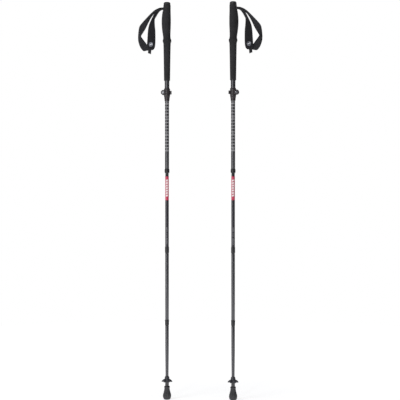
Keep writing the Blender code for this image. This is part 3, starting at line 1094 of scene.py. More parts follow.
@dataclass
class LeverClamp:
    """The clamp that holds the slide tube: its body, lever, screw and barrel nut."""

    maker: PoleMaker
    middle: float = 984.5
    skirt_end: float = 957.0
    screw_u: float = 11.5
    barrel_y: float = 9.2
    half_height: float = 5.5
    boss: tuple[float, float, float] = (7.8, -9.6, 4.4)  # radius, front and back
    band_half: float = 10.5  # half the height of the band
    lever_sweep: tuple[float, float] = (47.0, 168.0)  # where its outer face starts and ends, in degrees
    lever_r: tuple[float, float] = (10.5, 13.0)
    thumb_tip: Outline = ((-14.3, 1.9), (-14.75, 0.4), (-14.6, -0.8), (-14.0, -1.3))
    tube_r: float = 7.5
    slide_r: float = 6.5
    tube_end: float = 962.5

    def build(self) -> None:
        """Builds the clamp."""
        self.build_body()
        self.build_lever()
        self.build_screw()

    def build_body(self) -> None:
        """Builds the body: a band with a boss for the screw, over a tapered skirt with two grooves."""
        low, high = self.middle - self.band_half, self.middle + self.band_half
        outline = filleted(
            [
                (6.0, high + 3.0), (8.5, high + 3.0), (9.4, high + 1.2), (9.8, high), (9.8, low),
                (9.5, low - 1.4), (9.1, low - 4.0), (8.7, low - 4.4), (8.9, low - 5.0), (8.5, low - 8.0),
                (8.1, low - 8.4), (8.3, low - 9.0), (7.6, self.skirt_end + 0.6), (7.2, self.skirt_end),
                (6.0, self.skirt_end),
            ],
            0.4,
            steps=2,
        )
        body = self.maker.add(
            "clamp_body", turned(outline), Finishes.CLAMP_NYLON, "handles", ["clamp_body"]
        )
        radius, front, back = self.boss
        outline = [(0, front), (radius, front), (radius, back), (0, back)]
        knob = filleted(outline, 1.0, closed=False, steps=4)
        face = box((-3.0, self.screw_u), (front + 0.15, 0.0), (self.middle - 6.8, self.middle + 6.8))
        at_screw = {"u": self.screw_u, "z": self.middle, "lying": True}
        self.maker.carve(body, [placed(turned(knob), **at_screw), face], "UNION")
        step, wide, narrow = self.tube_end - 0.3, self.tube_r + 0.2, self.slide_r + 0.25
        bore = turned(
            [
                (0, high + 9), (wide, high + 9), (wide, step), (narrow, step), (narrow, self.skirt_end - 5),
                (0, self.skirt_end - 5),
            ]
        )
        seat = front + 3.0
        hole = turned([(0, 20.0), (1.9, 20.0), (1.9, seat), (5.6, seat), (5.6, -20.0), (0, -20.0)], 40)
        split = box((6.0, 30.0), (-0.9, 0.9), (low - 0.5, high + 9))
        self.maker.carve(body, [bore, split, placed(hole, **at_screw)], bevel=0.28)

    def build_lever(self) -> None:
        """Builds the lever, which wraps the back of the band and ends in a ridged thumb tip."""
        (start, end), (inner_r, outer_r), outer = self.lever_sweep, self.lever_r, []
        for step in range(41):
            turn = start + (end - start) * step / 40
            ridge = 0.22 * math.cos(math.radians(turn - end) * 26) * smoothstep((turn - 134) / 10)
            angle, reach = math.radians(turn), outer_r + ridge
            outer.append((reach * math.cos(angle), reach * math.sin(angle)))
        band = [*outer, *self.thumb_tip, *arc(inner_r, 186, start, 30)]
        low, high = self.middle - self.half_height, self.middle + self.half_height
        lever = self.maker.add(
            "clamp_lever", plate(band, low, high), Finishes.CLAMP_NYLON, "lever", ["clamp_lever"]
        )
        hinge = {"u": self.screw_u, "y": self.barrel_y}
        self.maker.carve(lever, [placed(rod(4.0, low, high, 40), **hinge)], "UNION")
        bore = placed(rod(2.75, low - 5, high + 5, 32), **hinge)
        fork = placed(rod(5.5, self.middle - 2.1, self.middle + 2.1, 40), **hinge)
        self.maker.carve(lever, [bore, fork], bevel=0.35)

    def build_screw(self) -> None:
        """Builds the slotted tension screw, and the barrel nut that it runs in."""
        seat = self.boss[1] + 2.7
        outline = filleted(
            [
                (0, 11.2), (1.3, 11.2), (1.5, 10.8), (1.5, seat), (5.2, seat), (5.2, seat - 1.2),
                (4.2, seat - 2.5), (0, seat - 2.5),
            ],
            0.35,
            closed=False,
        )
        shape = placed(turned(outline, 48), self.screw_u, 0, self.middle, lying=True)
        screw = self.maker.add("clamp_screw", shape, Finishes.STEEL, "screw", ["clamp_screw"])
        slot = box(
            (self.screw_u - 8, self.screw_u + 8), (-14.0, seat - 1.7),
            (self.middle - 0.6, self.middle + 0.6),
        )
        self.maker.carve(screw, [slot], bevel=0.08)
        low, high = self.middle - self.half_height, self.middle + self.half_height
        outline = filleted([(0, high), (2.5, high), (2.5, low), (0, low)], 0.4, closed=False)
        shape = placed(turned(outline, 32), self.screw_u, self.barrel_y)
        barrel = self.maker.add("clamp_barrel", shape, Finishes.STEEL, "handles", ["clamp_barrel"])
        cross = placed(rod(1.8, 0, 20.0, 24), self.screw_u, 0, self.middle, lying=True)
        self.maker.carve(barrel, [cross])


@dataclass
class WristStrap:
    """The wrist strap: webbing round the head's pin, a padded section, its badge and its stitching."""

    maker: PoleMaker
    thickness: float = 2.1
    # the webbing's two edges, from under the pad's root, round the pin, round the loop to behind the pad
    root_outer: tuple[Point, ...] = (
        (22.0, -7.0, 1251.5), (17.5, -7.2, 1252.2), (11.5, -7.6, 1252.5), (6.5, -7.8, 1252.3),
        (2.6, -7.9, 1251.9), (1.2, -8.0, 1254.0), (2.6, -8.0, 1256.1), (6.5, -8.0, 1255.9),
        (11.5, -8.1, 1255.7),
    )
    root_inner: tuple[Point, ...] = (
        (22.0, 7.0, 1249.8), (17.5, 7.2, 1251.7), (11.5, 7.6, 1252.5), (6.5, 7.8, 1252.3),
        (2.6, 7.9, 1251.9), (1.2, 8.0, 1254.0), (2.6, 8.0, 1256.1), (6.5, 8.0, 1255.9),
        (11.5, 8.1, 1255.7),
    )
    # it is sewn double below the pin
    root_depths: tuple[float, ...] = (1.8, 2.6, 3.6, 3.4, 2.1, 2.0, 2.1, 2.5, 2.4)
    loop_outer: tuple[Point, ...] = (
        (16.8, -8.2, 1255.5), (24.0, -8.0, 1254.6), (37.0, -7.0, 1249.0), (48.0, -6.0, 1240.5),
        (59.5, -4.5, 1229.7), (73.9, -2.5, 1215.6), (87.6, 0.0, 1199.8), (91.6, 1.0, 1186.0),
        (93.2, 3.0, 1170.0), (93.2, 3.0, 1158.0), (92.2, 2.0, 1147.5), (88.4, 1.5, 1135.2),
        (82.7, 1.5, 1125.0), (76.0, 1.5, 1118.7), (67.0, 1.5, 1119.4), (57.0, 1.5, 1121.5),
        (46.0, 1.5, 1124.0),
    )
    loop_inner: tuple[Point, ...] = (
        (16.8, 8.2, 1255.3), (24.0, 8.0, 1252.8), (34.5, 8.0, 1245.6), (43.4, 7.2, 1238.6),
        (52.0, 5.2, 1226.2), (60.4, 3.4, 1209.4), (68.8, 1.5, 1191.4), (75.5, -1.0, 1179.6),
        (81.6, -4.0, 1169.6), (83.6, -5.0, 1165.6), (82.8, -4.0, 1163.8), (79.0, -1.0, 1158.6),
        (74.4, 0.6, 1152.6), (69.4, 1.5, 1146.0), (64.6, 1.5, 1139.6), (57.0, 1.5, 1136.5),
        (47.0, 1.5, 1135.0),
    )
    # the pad: outboard edge, inboard edge, thickness
    pad: tuple[tuple[Point, Point, float], ...] = (
        ((13.2, -7.7, 1252.4), (13.2, 7.7, 1252.3), 4.0),
        ((17.5, -7.9, 1252.2), (17.5, 7.9, 1251.7), 4.2),
        ((24.5, -7.8, 1250.9), (24.0, 7.8, 1248.2), 3.8),
        ((35.0, -7.0, 1244.4), (31.2, 7.6, 1239.2), 3.4),
        ((42.4, -6.0, 1231.8), (36.6, 6.0, 1229.3), 3.2),
        ((49.8, -5.0, 1217.4), (40.4, 0.0, 1219.6), 4.4),
        ((56.8, -3.8, 1201.0), (40.0, -3.0, 1201.0), 5.4),
        ((60.2, -3.2, 1183.0), (38.3, -3.2, 1183.0), 5.6),
        ((61.7, -3.2, 1162.0), (37.9, -3.2, 1162.0), 5.6),
        ((63.0, -3.2, 1141.0), (38.3, -3.2, 1141.0), 5.6),
        ((62.6, -3.2, 1130.0), (40.0, -3.2, 1130.0), 5.4),
        ((60.6, -3.2, 1124.6), (42.6, -3.2, 1124.6), 5.0),
        ((56.0, -3.2, 1121.6), (46.6, -3.2, 1121.6), 4.4),
    )
    pad_crown: float = 0.34  # how far its middle stands above its edges, as a share of its half thickness
    tail: tuple[tuple[Point, Point], ...] = (
        ((60.4, 1.5, 1131.0), (49.8, 1.5, 1131.0)),
        ((60.9, 1.4, 1124.0), (50.5, 1.4, 1124.0)),
        ((61.3, 1.1, 1117.5), (51.1, 1.1, 1117.0)),
        ((61.8, 1.0, 1112.0), (51.9, 1.0, 1108.3)),
    )
    tail_thickness: float = 1.8
    seam: tuple[tuple[Point, Point], ...] = (
        ((64.5, 0.35, 1121.5), (67.5, 0.35, 1142.0)),
        ((66.6, 0.35, 1121.2), (69.6, 0.35, 1144.5)),
    )
    badge: tuple[float, float, float] = (51.1, 1138.8, 7.4)  # u, z and radius
    bar: tuple[float, float] = (4.6, 1.3)  # half its length and half its width
    mouth: tuple[float, float] = (11.5, 19.5)  # two points along u at the slot's mouth
    mouth_height: float = 1254.0

    def build(self) -> None:
        """Builds the strap."""
        self.build_webbing()
        self.build_pad()
        self.build_badge()

    def strip(
        self, edges: Sequence[tuple[Sequence[float], Sequence[float]]], depths: Sequence[float],
        profile: Sequence[tuple[float, float]], name: str, finish: Finishes, body: str | None,
        stands_for: Sequence[str] = (),
    ) -> Piece:
        """A band of cloth that carries its own lay, so that its threads follow it.

        Args:
            edges: Its two edges, station by station.
            depths: Its thickness at each station.
            profile: Its section as shares of half its width and half its thickness.
            name: The piece's name.
            finish: Its finish.
            body: The body it rides on, or None.
            stands_for: The CAD nodes that it replaces.

        Returns:
            The piece.
        """
        middles = [(Vector(a) + Vector(b)) / 2 for a, b in edges]
        rings, lay, run = [], [], 0.0
        for i, (outer, inner) in enumerate(edges):
            along = middles[min(i + 1, len(middles) - 1)] - middles[max(i - 1, 0)]
            half = (Vector(outer) - Vector(inner)) / 2
            across = along.cross(half).normalized() * depths[i] / 2
            if i:
                run += (middles[i] - middles[i - 1]).length
            rings.append([tuple(middles[i] + half * w + across * t) for w, t in profile])
            lay += [(w * half.length * MM, run * MM, 0.0) for w, t in profile]
        piece = self.maker.add(name, ringed(rings), finish, body, stands_for, sharp=50.0)
        self.maker.add_lay(piece, [value for point in lay for value in point])
        return piece

    @staticmethod
    def rounded_section(edge: float, count: int, crown: float) -> list[tuple[float, float]]:
        """A flat section with soft edges.

        Args:
            edge: The share of the half width that each edge's rounding takes.
            count: How many points each face has.
            crown: How far the middle of each face stands above its edges, as a share of the half thickness.

        Returns:
            The section, as shares of half width and half thickness.
        """
        section = []
        for face in (-1, 1):
            for step in range(count):
                w = face * (-1 + 2 * (step + 0.5) / count) * (1 - edge)
                section.append((w, face * (1 - crown * (w / (1 - edge)) ** 2)))
            # the corner's two shoulders, and the edge between them
            shoulder_w, shoulder_t = face * (1 - edge * 0.35), face * (0.86 - crown)
            section += [(shoulder_w, shoulder_t), (face, face * 0.3), (face, -face * 0.3)]
            section.append((shoulder_w, -shoulder_t))
        return section

    def build_webbing(self) -> None:
        """Builds the webbing and its loose tail."""
        depths = self.root_depths + (self.thickness,) * len(self.loop_outer)
        outer, inner = self.root_outer + self.loop_outer, self.root_inner + self.loop_inner
        line = catmull([(*a, *b, depth) for a, b, depth in zip(outer, inner, depths)], 8)
        edges = [(row[:3], row[3:6]) for row in line]
        section = self.rounded_section(0.08, 9, 0.0)
        depths, name = [row[6] for row in line], "strap_webbing"
        webbing = self.strip(edges, depths, section, name, Finishes.WEBBING, None, [name])
        start, end = self.mouth
        self.maker.body("strap")
        self.maker.world(start, 0, self.mouth_height)
        self.maker.world(end, 0, self.mouth_height)
        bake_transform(webbing)
        flat = [(row[:3], row[3:]) for row in catmull([(*a, *b) for a, b in self.tail], 8)]
        depths = [self.tail_thickness] * len(flat)
        self.strip(flat, depths, section, "strap_tail", Finishes.WEBBING, "strap")
        self.stitches("strap_seam", self.seam, 1.5, 0.32)

    def build_pad(self) -> None:
        """Builds the padded section: a crowned, soft-edged form with binding and stitching round it."""
        rows = catmull([(*a, *b, depth) for a, b, depth in self.pad], 9)
        edges = [(row[:3], row[3:6]) for row in rows]
        depths = [row[6] for row in rows]
        section = self.rounded_section(0.16, 13, self.pad_crown)
        pad = self.strip(edges, depths, section, "strap_pad", Finishes.PAD, "strap", ["strap_pad"])
        bound = rows[14:]  # the binding starts below the narrow root
        path = [row[:3] for row in bound] + [row[3:6] for row in reversed(bound)]
        shape, lay = swept(path, 1.05)
        self.maker.add_lay(self.maker.add("pad_binding", shape, Finishes.BINDING, "strap", sharp=60.0), lay)
        inset, lines = 2.6, ([], [])
        for row in rows[36:-9]:
            outer, inner, depth = Vector(row[:3]), Vector(row[3:6]), row[6]
            width = (outer - inner).length
            for line, share in zip(lines, (inset / width, 1 - inset / width)):
                point = outer.lerp(inner, share)
                crown = 1 - self.pad_crown * (2 * share - 1) ** 2
                line.append((point.x, point.y - depth / 2 * crown + 0.02, point.z))
        runs = []
        for line in lines:
            runs += list(zip(line[::3], line[3::3]))
        self.stitches("pad_stitching", runs, 2.2, 0.28)

    def stitches(self, name: str, runs: Sequence[tuple[Point, Point]], pitch: float, radius: float) -> None:
        """Rows of stitches, each a small lozenge of thread.

        Args:
            name: The piece's name.
            runs: The start and end of each row.
            pitch: From one stitch to the next.
            radius: Half the thread's thickness.
        """
        shapes = []
        for start, end in runs:
            a, b = Vector(start), Vector(end)
            count = max(1, round((b - a).length / pitch))
            turn = (b - a).to_track_quat("Z", "Y").to_matrix().to_4x4()
            for i in range(count):
                middle = a.lerp(b, (i + 0.5) / count)
                half = (b - a).length / count * 0.38
                waist = (radius * 0.7, half * 0.7)
                outline = [(0, half), waist, (radius, 0), (waist[0], -waist[1]), (0, -half)]
                bead = turned(outline, 8)
                bmesh.ops.transform(bead, matrix=Matrix.Translation(middle) @ turn, verts=bead.verts[:])
                shapes.append(bead)
        self.maker.add(name, joined(shapes), Finishes.THREAD, "strap", sharp=80.0)

    def build_badge(self) -> None:
        """Builds the snap's plated disc, with a plain slanting bar raised on it."""
        u, z, radius = self.badge
        disc = filleted(
            [
                (0, -6.4), (radius, -6.4), (radius, -7.3), (radius - 1.1, -7.95), (radius - 1.7, -7.7),
                (0, -7.7),
            ],
            0.3,
            closed=False,
        )
        shape = placed(turned(disc), u, 0, z, lying=True)
        self.maker.add("strap_badge", shape, Finishes.BADGE, "strap", ["strap_badge"])
        x, y = self.bar
        bar = plate(filleted([(-x, -y), (x, -y), (x, y), (-x, y)], 0.8, steps=4), -8.15, -7.6)
        slant = Matrix.Rotation(math.radians(32), 3, "Z")
        bmesh.ops.rotate(bar, cent=(0, 0, 0), matrix=slant, verts=bar.verts[:])
        upright = Matrix(((1, 0, 0, 0), (0, 0, 1, 0), (0, 1, 0, 0), (0, 0, 0, 1)))
        turn = Matrix.Translation((u, 0, z)) @ upright
        if self.maker.side is Side.LEFT:
            turn = turn @ Matrix.Diagonal((-1, 1, 1, 1))
        bmesh.ops.transform(bar, matrix=turn, verts=bar.verts[:])
        bmesh.ops.recalc_face_normals(bar, faces=bar.faces[:])
        self.maker.add("badge_bar", bar, Finishes.BAR_WHITE, "strap")


@dataclass
class Shaft:
    """The four tube sections with their collars, spigots, print, cord, and the lock's button."""

    maker: PoleMaker
    joint_heights: tuple[float, ...] = (726.6, 469.4, 237.3)
    collar_tops: tuple[float, ...] = (739.5, 490.3, 256.6)
    collar_radii: tuple[float, ...] = (7.75, 6.5, 6.5)
    cord_tops: tuple[float, ...] = (905.0, 715.0, 457.8)
    slide: tuple[float, float, float] = (6.5, 5.85, 1058.0)  # radius, bore and top
    section: tuple[float, float] = (5.7, 5.1)
    neck: tuple[float, float] = (5.6, 10.7)  # radius and length
    spigot_height: float = 8.6
    socket_r: float = 5.1
    cord_r: float = 1.2
    tip_end: tuple[float, float] = (4.8, 62.0)  # radius and height
    socket_depth: float = 3.6  # from the parting line to the end of the tube above
    parting: float = 0.3  # the gap between a collar and the shoulder below it
    plain_neck: float = 1.2  # the length of the lower two spigots' necks
    neck_seam: float = 0.05  # the gap between a neck and its tube
    button_drop: float = 3.7
    leaf: tuple[float, float, float, float] = (2.95, 1.5, 0.15, 20.6)  # y, half width, half depth, length
    scale_bottom: float = 798.0
    scale_marks: int = 18
    scale_first: int = 110  # the number at its lowest mark, in centimetres
    long_mark: tuple[float, float] = (8.6, 2.0)  # half its length and half its height
    short_mark: tuple[float, float] = (7.8, 1.7)
    digit_height: float = 3.8
    digit_rise: float = 5.0  # from a mark to the middle of its number
    band: tuple[float, float] = (715.5, 639.5)
    block_low: float = 651.3
    block: tuple[float, float, float, float] = (8.0, 5.9, 3.7, 0.6)  # pitch, height, half width, slant
    block_count: int = 7
    bar_rows: tuple[tuple[float, float, float], ...] = (
        # low, high and half width
        (538.5, 552.5, 1.6), (529.5, 533.5, 1.2), (523.0, 526.5, 1.2), (498.0, 519.0, 1.4),
    )
    bar_pitch: float = 2.4
    bar_height: float = 1.5
    taper: tuple[float, float] = (160.0, 82.0)  # where the tip tube starts to narrow and stops
    uppers: tuple[str, ...] = ("slide", "mid", "lower")
    lowers: tuple[str, ...] = ("mid", "lower", "tip")

    def build(self) -> None:
        """Builds the shaft from the top down."""
        self.build_slide()
        for number in (1, 2, 3):
            self.build_joint(number)
        self.build_mid()
        self.build_lower()
        self.build_button()

    def tube(self, name: str, outline: Outline, finish: Finishes, body: str) -> Piece:
        """A tube from its (radius, z) outline."""
        return self.maker.add(name, turned(filleted(outline, 0.12, steps=2)), finish, body, [name])

    def build_slide(self) -> None:
        """Builds the slide tube with its length scale, a mark for each 10 mm and a number at each fifth."""
        radius, bore, top = self.slide
        seat = self.joint_heights[0] + self.socket_depth
        outline = [(radius, seat), (radius, top), (bore, top), (bore, seat)]
        self.tube("slide_tube", outline, Finishes.TUBE_GREY, "slide")
        marks, digits = [], []
        for number in range(self.scale_marks + 1):
            z = self.scale_bottom + 10 * number
            labelled = number % 5 == 0
            half, thick = self.long_mark if labelled else self.short_mark
            low, high = z - thick, z + thick
            marks.append(wrapped([(-half, low), (half, low), (half, high), (-half, high)], radius))
            if labelled:
                text, middle = str(self.scale_first + number), z + self.digit_rise
                digits.append(numeral(text, self.digit_height, middle, radius))
        self.maker.add("scale_marks", joined(marks), Finishes.INK_SCALE, "slide", mirrored=False)
        numbers = joined(digits)
        self.maker.add("scale_numbers", numbers, Finishes.INK_GREY, "slide", mirrored=False, sharp=60)

    def build_joint(self, number: int) -> None:
        """Builds one fold joint: the collar, the spigot that seats in it, and the cord through both.

        Args:
            number: The joint's number, from 1 at the top.
        """
        upper, lower = self.uppers[number - 1], self.lowers[number - 1]
        low, high = self.joint_heights[number - 1], self.collar_tops[number - 1]
        radius = self.collar_radii[number - 1]
        bore = (self.slide[0] if number == 1 else self.section[0]) + 0.05
        collar = filleted(
            [
                (radius - 0.75, high), (radius - 0.15, high - 1.3), (radius, high - 4.0),
                (radius, low + 4.2), (radius - 0.1, low + 2.0), (radius - 0.9, low), (self.socket_r, low),
                (self.socket_r, low + 3.2), (bore, low + 3.4), (bore, high),
            ],
            0.5,
        )
        name = f"joint_collar_{number}"
        self.maker.add(name, turned(collar), Finishes.JOINT_ABS, upper, [name])
        self.build_spigot(number, lower)
        self.build_cord(number, lower)

    def build_spigot(self, number: int, body: str) -> None:
        """Builds the plug on a section's upper end.

        Args:
            number: The joint's number.
            body: The section's body.
        """
        seat = self.joint_heights[number - 1]
        shoulder = seat - self.parting
        neck_r, neck_length = self.neck if number == 1 else (self.section[0], self.plain_neck)
        end = shoulder - neck_length
        bore = self.cord_r + 0.35
        waist = [(neck_r, shoulder), (neck_r, shoulder - 0.5)]
        if number == 1:
            waist += [(neck_r - 0.35, shoulder - 1.0), (neck_r - 0.35, end + 1.0), (neck_r, end + 0.5)]
        sleeve_r, sleeve_end, cavity_r = self.section[1] - 0.1, end - 14.0, 4.1
        outline = [
            (2.1, seat + self.spigot_height), (4.65, shoulder + 0.2), *waist, (neck_r, end),
            (sleeve_r, end), (sleeve_r, sleeve_end), (cavity_r, sleeve_end), (cavity_r, seat - 1.8),
            (bore, seat - 0.4), (bore, seat + self.spigot_height),
        ]
        name, shape = f"spigot_{number}", turned(filleted(outline, 0.25, steps=2))
        spigot = self.maker.add(name, shape, Finishes.JOINT_ABS, body, [name])
        if number == 1:
            hole = placed(rod(2.4, 2.5, 9.0, 32), z=seat - self.button_drop, lying=True)
            self.maker.carve(spigot, [hole])

    def build_cord(self, number: int, body: str) -> None:
        """Builds the stretch of cord through a joint, with its rings close together just above the spigot.

        Args:
            number: The joint's number.
            body: The body of the section below.
        """
        seat = self.joint_heights[number - 1]
        # the bend zone is short and sits just above the spigot
        bend_low, bend_high = (seat + self.spigot_height + above for above in (0.2, 1.0))
        top, end = self.cord_tops[number - 1], seat - 11.0
        heights = [top + (bend_high - top) * i / 12 for i in range(12)]
        heights += [bend_high + (bend_low - bend_high) * i / 36 for i in range(36)]
        heights += [bend_low + (end - bend_low) * i / 6 for i in range(7)]
        shares = [step / 14 for step in range(14)]
        around = [(math.cos(math.tau * t), math.sin(math.tau * t)) for t in shares]
        rings = [[(self.cord_r * x, self.cord_r * y, z) for x, y in around] for z in heights]
        name = f"cord_{number}"
        cord = self.maker.add(name, ringed(rings), Finishes.CORD, None, [name], sharp=60)
        # the wrap is a whole number of threads round, so that the braid meets itself
        wrap = 4 * Finishes.CORD.value.thread_mm[0]
        self.maker.add_lay(cord, [v for z in heights for t in shares for v in (wrap * t * MM, z * MM, 0.0)])
        self.maker.body(f"link_{number}")
        self.maker.body(body)
        self.maker.world(0, 0, bend_high)
        self.maker.world(0, 0, bend_low)
        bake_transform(cord)

    def build_mid(self) -> None:
        """Builds the printed section: a red band with pale slanted blocks, and faint small bars below."""
        outer, bore = self.section
        top = self.joint_heights[0] - self.parting - self.neck[1] - self.neck_seam
        seat = self.joint_heights[1] + self.socket_depth
        band_top, band_low = self.band
        outline = [
            (bore, seat), (outer, seat), (outer, band_low), (outer, band_top), (outer, top), (bore, top),
        ]
        mid = self.maker.add("mid_tube", turned(outline), Finishes.TUBE_PRINTED, "mid", ["mid_tube"])
        mid.data.materials.append(Finishes.BAND_RED.material())
        for face in mid.data.polygons:
            reach = math.hypot(face.center.x, face.center.y)
            if band_low * MM < face.center.z < band_top * MM and reach > (bore + 0.3) * MM:
                face.material_index = 1
        pitch, tall, half, slant = self.block
        blocks = []
        for i in range(self.block_count):
            low = self.block_low + pitch * i
            high = low + tall
            outline = [
                (-half, low - slant), (half, low + slant), (half, high + slant), (-half, high - slant),
            ]
            blocks.append(wrapped(outline, outer))
        self.maker.add("band_blocks", joined(blocks), Finishes.INK_PINK, "mid", mirrored=False)
        bars = []
        for z, row_end, half in self.bar_rows:
            while z < row_end - 0.5:
                high = z + self.bar_height
                bars.append(wrapped([(-half, z), (half, z), (half, high), (-half, high)], outer))
                z += self.bar_pitch
        self.maker.add("section_bars", joined(bars), Finishes.INK_FAINT, "mid", mirrored=False)

    def build_lower(self) -> None:
        """Builds the lower section and the tapered tip section."""
        outer, bore = self.section
        drop = self.parting + self.plain_neck + self.neck_seam
        top, seat = self.joint_heights[1] - drop, self.joint_heights[2] + self.socket_depth
        outline = [(outer, seat), (outer, top), (bore, top), (bore, seat)]
        self.tube("lower_tube", outline, Finishes.TUBE_GREY, "lower")
        top, (end_r, end), (start, stop) = self.joint_heights[2] - drop, self.tip_end, self.taper
        end_bore = end_r - (outer - bore)
        outline = [
            (outer, top), (outer, start), (end_r, stop), (end_r, end), (end_bore, end), (end_bore, stop),
            (bore, start), (bore, top),
        ]
        self.tube("tip_tube", outline, Finishes.TUBE_GREY, "tip")

    def build_button(self) -> None:
        """Builds the lock's sprung button, and its leaf spring."""
        z = self.joint_heights[0] - self.button_drop
        outline = [(0, 7.3), (1.2, 7.2), (1.9, 6.75), (2.2, 6.2), (2.2, 3.2), (0, 3.2)]
        button = placed(turned(filleted(outline, 0.2, closed=False, steps=2), 32), z=z, lying=True)
        self.maker.add("lock_button", button, Finishes.STEEL, "button", ["lock_button"])
        y, half, thick, length = self.leaf
        section = [(half, y - thick), (half, y + thick), (-half, y + thick), (-half, y - thick)]
        rings = [[(u, v, z + 1.6 - length * step / 20) for u, v in section] for step in range(21)]
        leaf = self.maker.add("lock_spring", ringed(rings), Finishes.SPRING, None, ["lock_spring"])
        self.maker.body("mid")
        self.maker.body("button")
        self.maker.world(0, y, z - 17.0)
        self.maker.world(0, y, z - 2.6)
        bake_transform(leaf)


@dataclass
class Foot:
    """The foot: ferrule, carbide tip, basket and rubber tip."""

    maker: PoleMaker
    prongs: int = 6
    basket_r: float = 17.5
    notch_r: float = 9.6
    rubber_top: float = 43.0
    flutes: int = 12
    flute_depth: float = 0.9

    def build(self) -> None:
        """Builds the foot."""
        ferrule = filleted(
            [
                (5.5, 75.4), (6.15, 73.2), (6.15, 57.0), (6.2, 50.0), (6.0, 49.6), (6.0, 48.9), (6.2, 48.5),
                (6.2, 44.6), (5.4, 43.5), (5.2, 30.0), (3.6, 21.0), (2.3, 21.0), (2.3, 33.0), (1.0, 33.0),
                (1.0, 60.0), (5.05, 60.0), (5.05, 75.4),
            ],
            0.25,
            steps=2,
        )
        self.maker.add("ferrule", turned(ferrule), Finishes.FERRULE_PA, "tip", ["ferrule"])
        carbide = [
            (0, 32.5), (2.0, 32.5), (2.0, 16.6), (1.95, 15.4), (1.7, 14.65), (1.3, 15.1), (0.6, 15.6),
            (0, 15.8),
        ]
        shape = turned(carbide, 32, self.facets)
        self.maker.add("carbide_tip", shape, Finishes.CARBIDE, "tip", ["carbide_tip"])
        self.build_basket()
        self.build_rubber()

    @staticmethod
    def facets(z: float, angle: float) -> float:
        """Eight shallow flats ground on the carbide."""
        return -0.12 * (1 - math.cos(8 * angle)) / 2 if z < 22 else 0.0

    def build_basket(self) -> None:
        """Builds the star basket: a tapered hub, and drooping prongs with a raised rib along each."""
        steps = self.prongs * 24
        span, rib_height, rib_start = self.basket_r - self.notch_r, 0.7, 0.82
        section = (
            # radius, z, share of the way out along a prong, and how much of the rib's height it carries
            (6.45, 73.3, 0.0, 0.0), (6.95, 73.3, 0.0, 0.0), (7.3, 71.5, 0.0, 0.0), (7.9, 67.0, 0.0, 0.0),
            (8.1, 65.6, 0.02, 0.4), (8.2, 64.6, 0.25, 0.8), (8.2, 63.1, 0.5, 0.9), (8.2, 61.0, 0.76, 0.7),
            (8.2, 58.6, 0.96, 0.3), (8.2, 57.6, 1.0, 0.0), (8.2, 56.9, 0.96, 0.0), (8.2, 58.8, 0.76, 0.0),
            (8.2, 60.8, 0.5, 0.0), (8.1, 62.0, 0.25, 0.0), (8.0, 62.6, 0.0, 0.0), (7.9, 60.0, 0.0, 0.0),
            (7.75, 56.2, 0.0, 0.0), (7.3, 55.7, 0.0, 0.0), (6.6, 55.7, 0.0, 0.0),
        )
        rings = []
        for radius, z, share, rib in section:
            ring = []
            for step in range(steps):
                turn = math.tau * step / steps
                wave = (1 + math.cos(self.prongs * turn)) / 2
                r = radius + share * (self.notch_r + span * wave**2.2 - radius)
                crest = smoothstep(max(0.0, (wave - rib_start) / (1 - rib_start)))
                ring.append((r * math.cos(turn), r * math.sin(turn), z + rib_height * rib * crest))
            rings.append(ring)
        shape = ringed(rings, closed=True)
        self.maker.add("basket", shape, Finishes.BASKET_PP, "basket", ["basket"], sharp=48.0)

    def build_rubber(self) -> None:
        """Builds the fluted rubber tip, with a rolled top edge and a grooved sole."""
        bore = [(0, 12.5), (2.6, 12.5), (4.6, 20.4), (5.6, 29.0), (5.75, self.rubber_top - 0.4)]
        rim = [(6.2, self.rubber_top), (8.4, self.rubber_top), (9.0, 42.3), (9.0, 39.6), (8.6, 38.2)]
        wall = [
            (8.3, 36.8), (8.75, 33.5), (9.75, 28.5), (11.3, 22.5), (12.6, 18.0), (13.3, 14.2),
            (13.3, 10.5), (12.6, 6.6), (11.2, 3.4), (9.4, 1.3),
        ]
        sole = [
            (7.6, 0.35), (6.6, 0.05), (5.4, 0.0), (5.2, 0.7), (4.0, 0.7), (3.8, 0.0), (2.2, 0.0),
            (2.0, 0.6), (0, 0.6),
        ]
        outline = [*bore, *rim, *(tuple(point) for point in catmull(wall, 4)), *sole]
        shape = turned(outline, 96, self.flute)
        self.maker.add("rubber_tip", shape, Finishes.RUBBER, "rubber", ["rubber_tip"], sharp=50.0)

    def flute(self, z: float, angle: float) -> float:
        """How far the rubber's flutes cut in. They fade out towards the waist and the sole.

        Args:
            z: The height.
            angle: The angle round it, in radians.

        Returns:
            What they add to the radius.
        """
        depth = self.flute_depth * smoothstep((36.5 - z) / 8) * smoothstep((z - 3.5) / 7)
        return -depth * (1 + math.cos(self.flutes * angle)) / 2


@dataclass
class WalkingPole:
    """One whole pole."""

    side: Side

    def build(self) -> list[Piece]:
        """Builds each sub-assembly, from the top down.

        Returns:
            The pieces made.
        """
        maker = PoleMaker(self.side)
        for part in (Handle(maker), LeverClamp(maker), WristStrap(maker), Shaft(maker), Foot(maker)):
            part.build()
        return maker.made


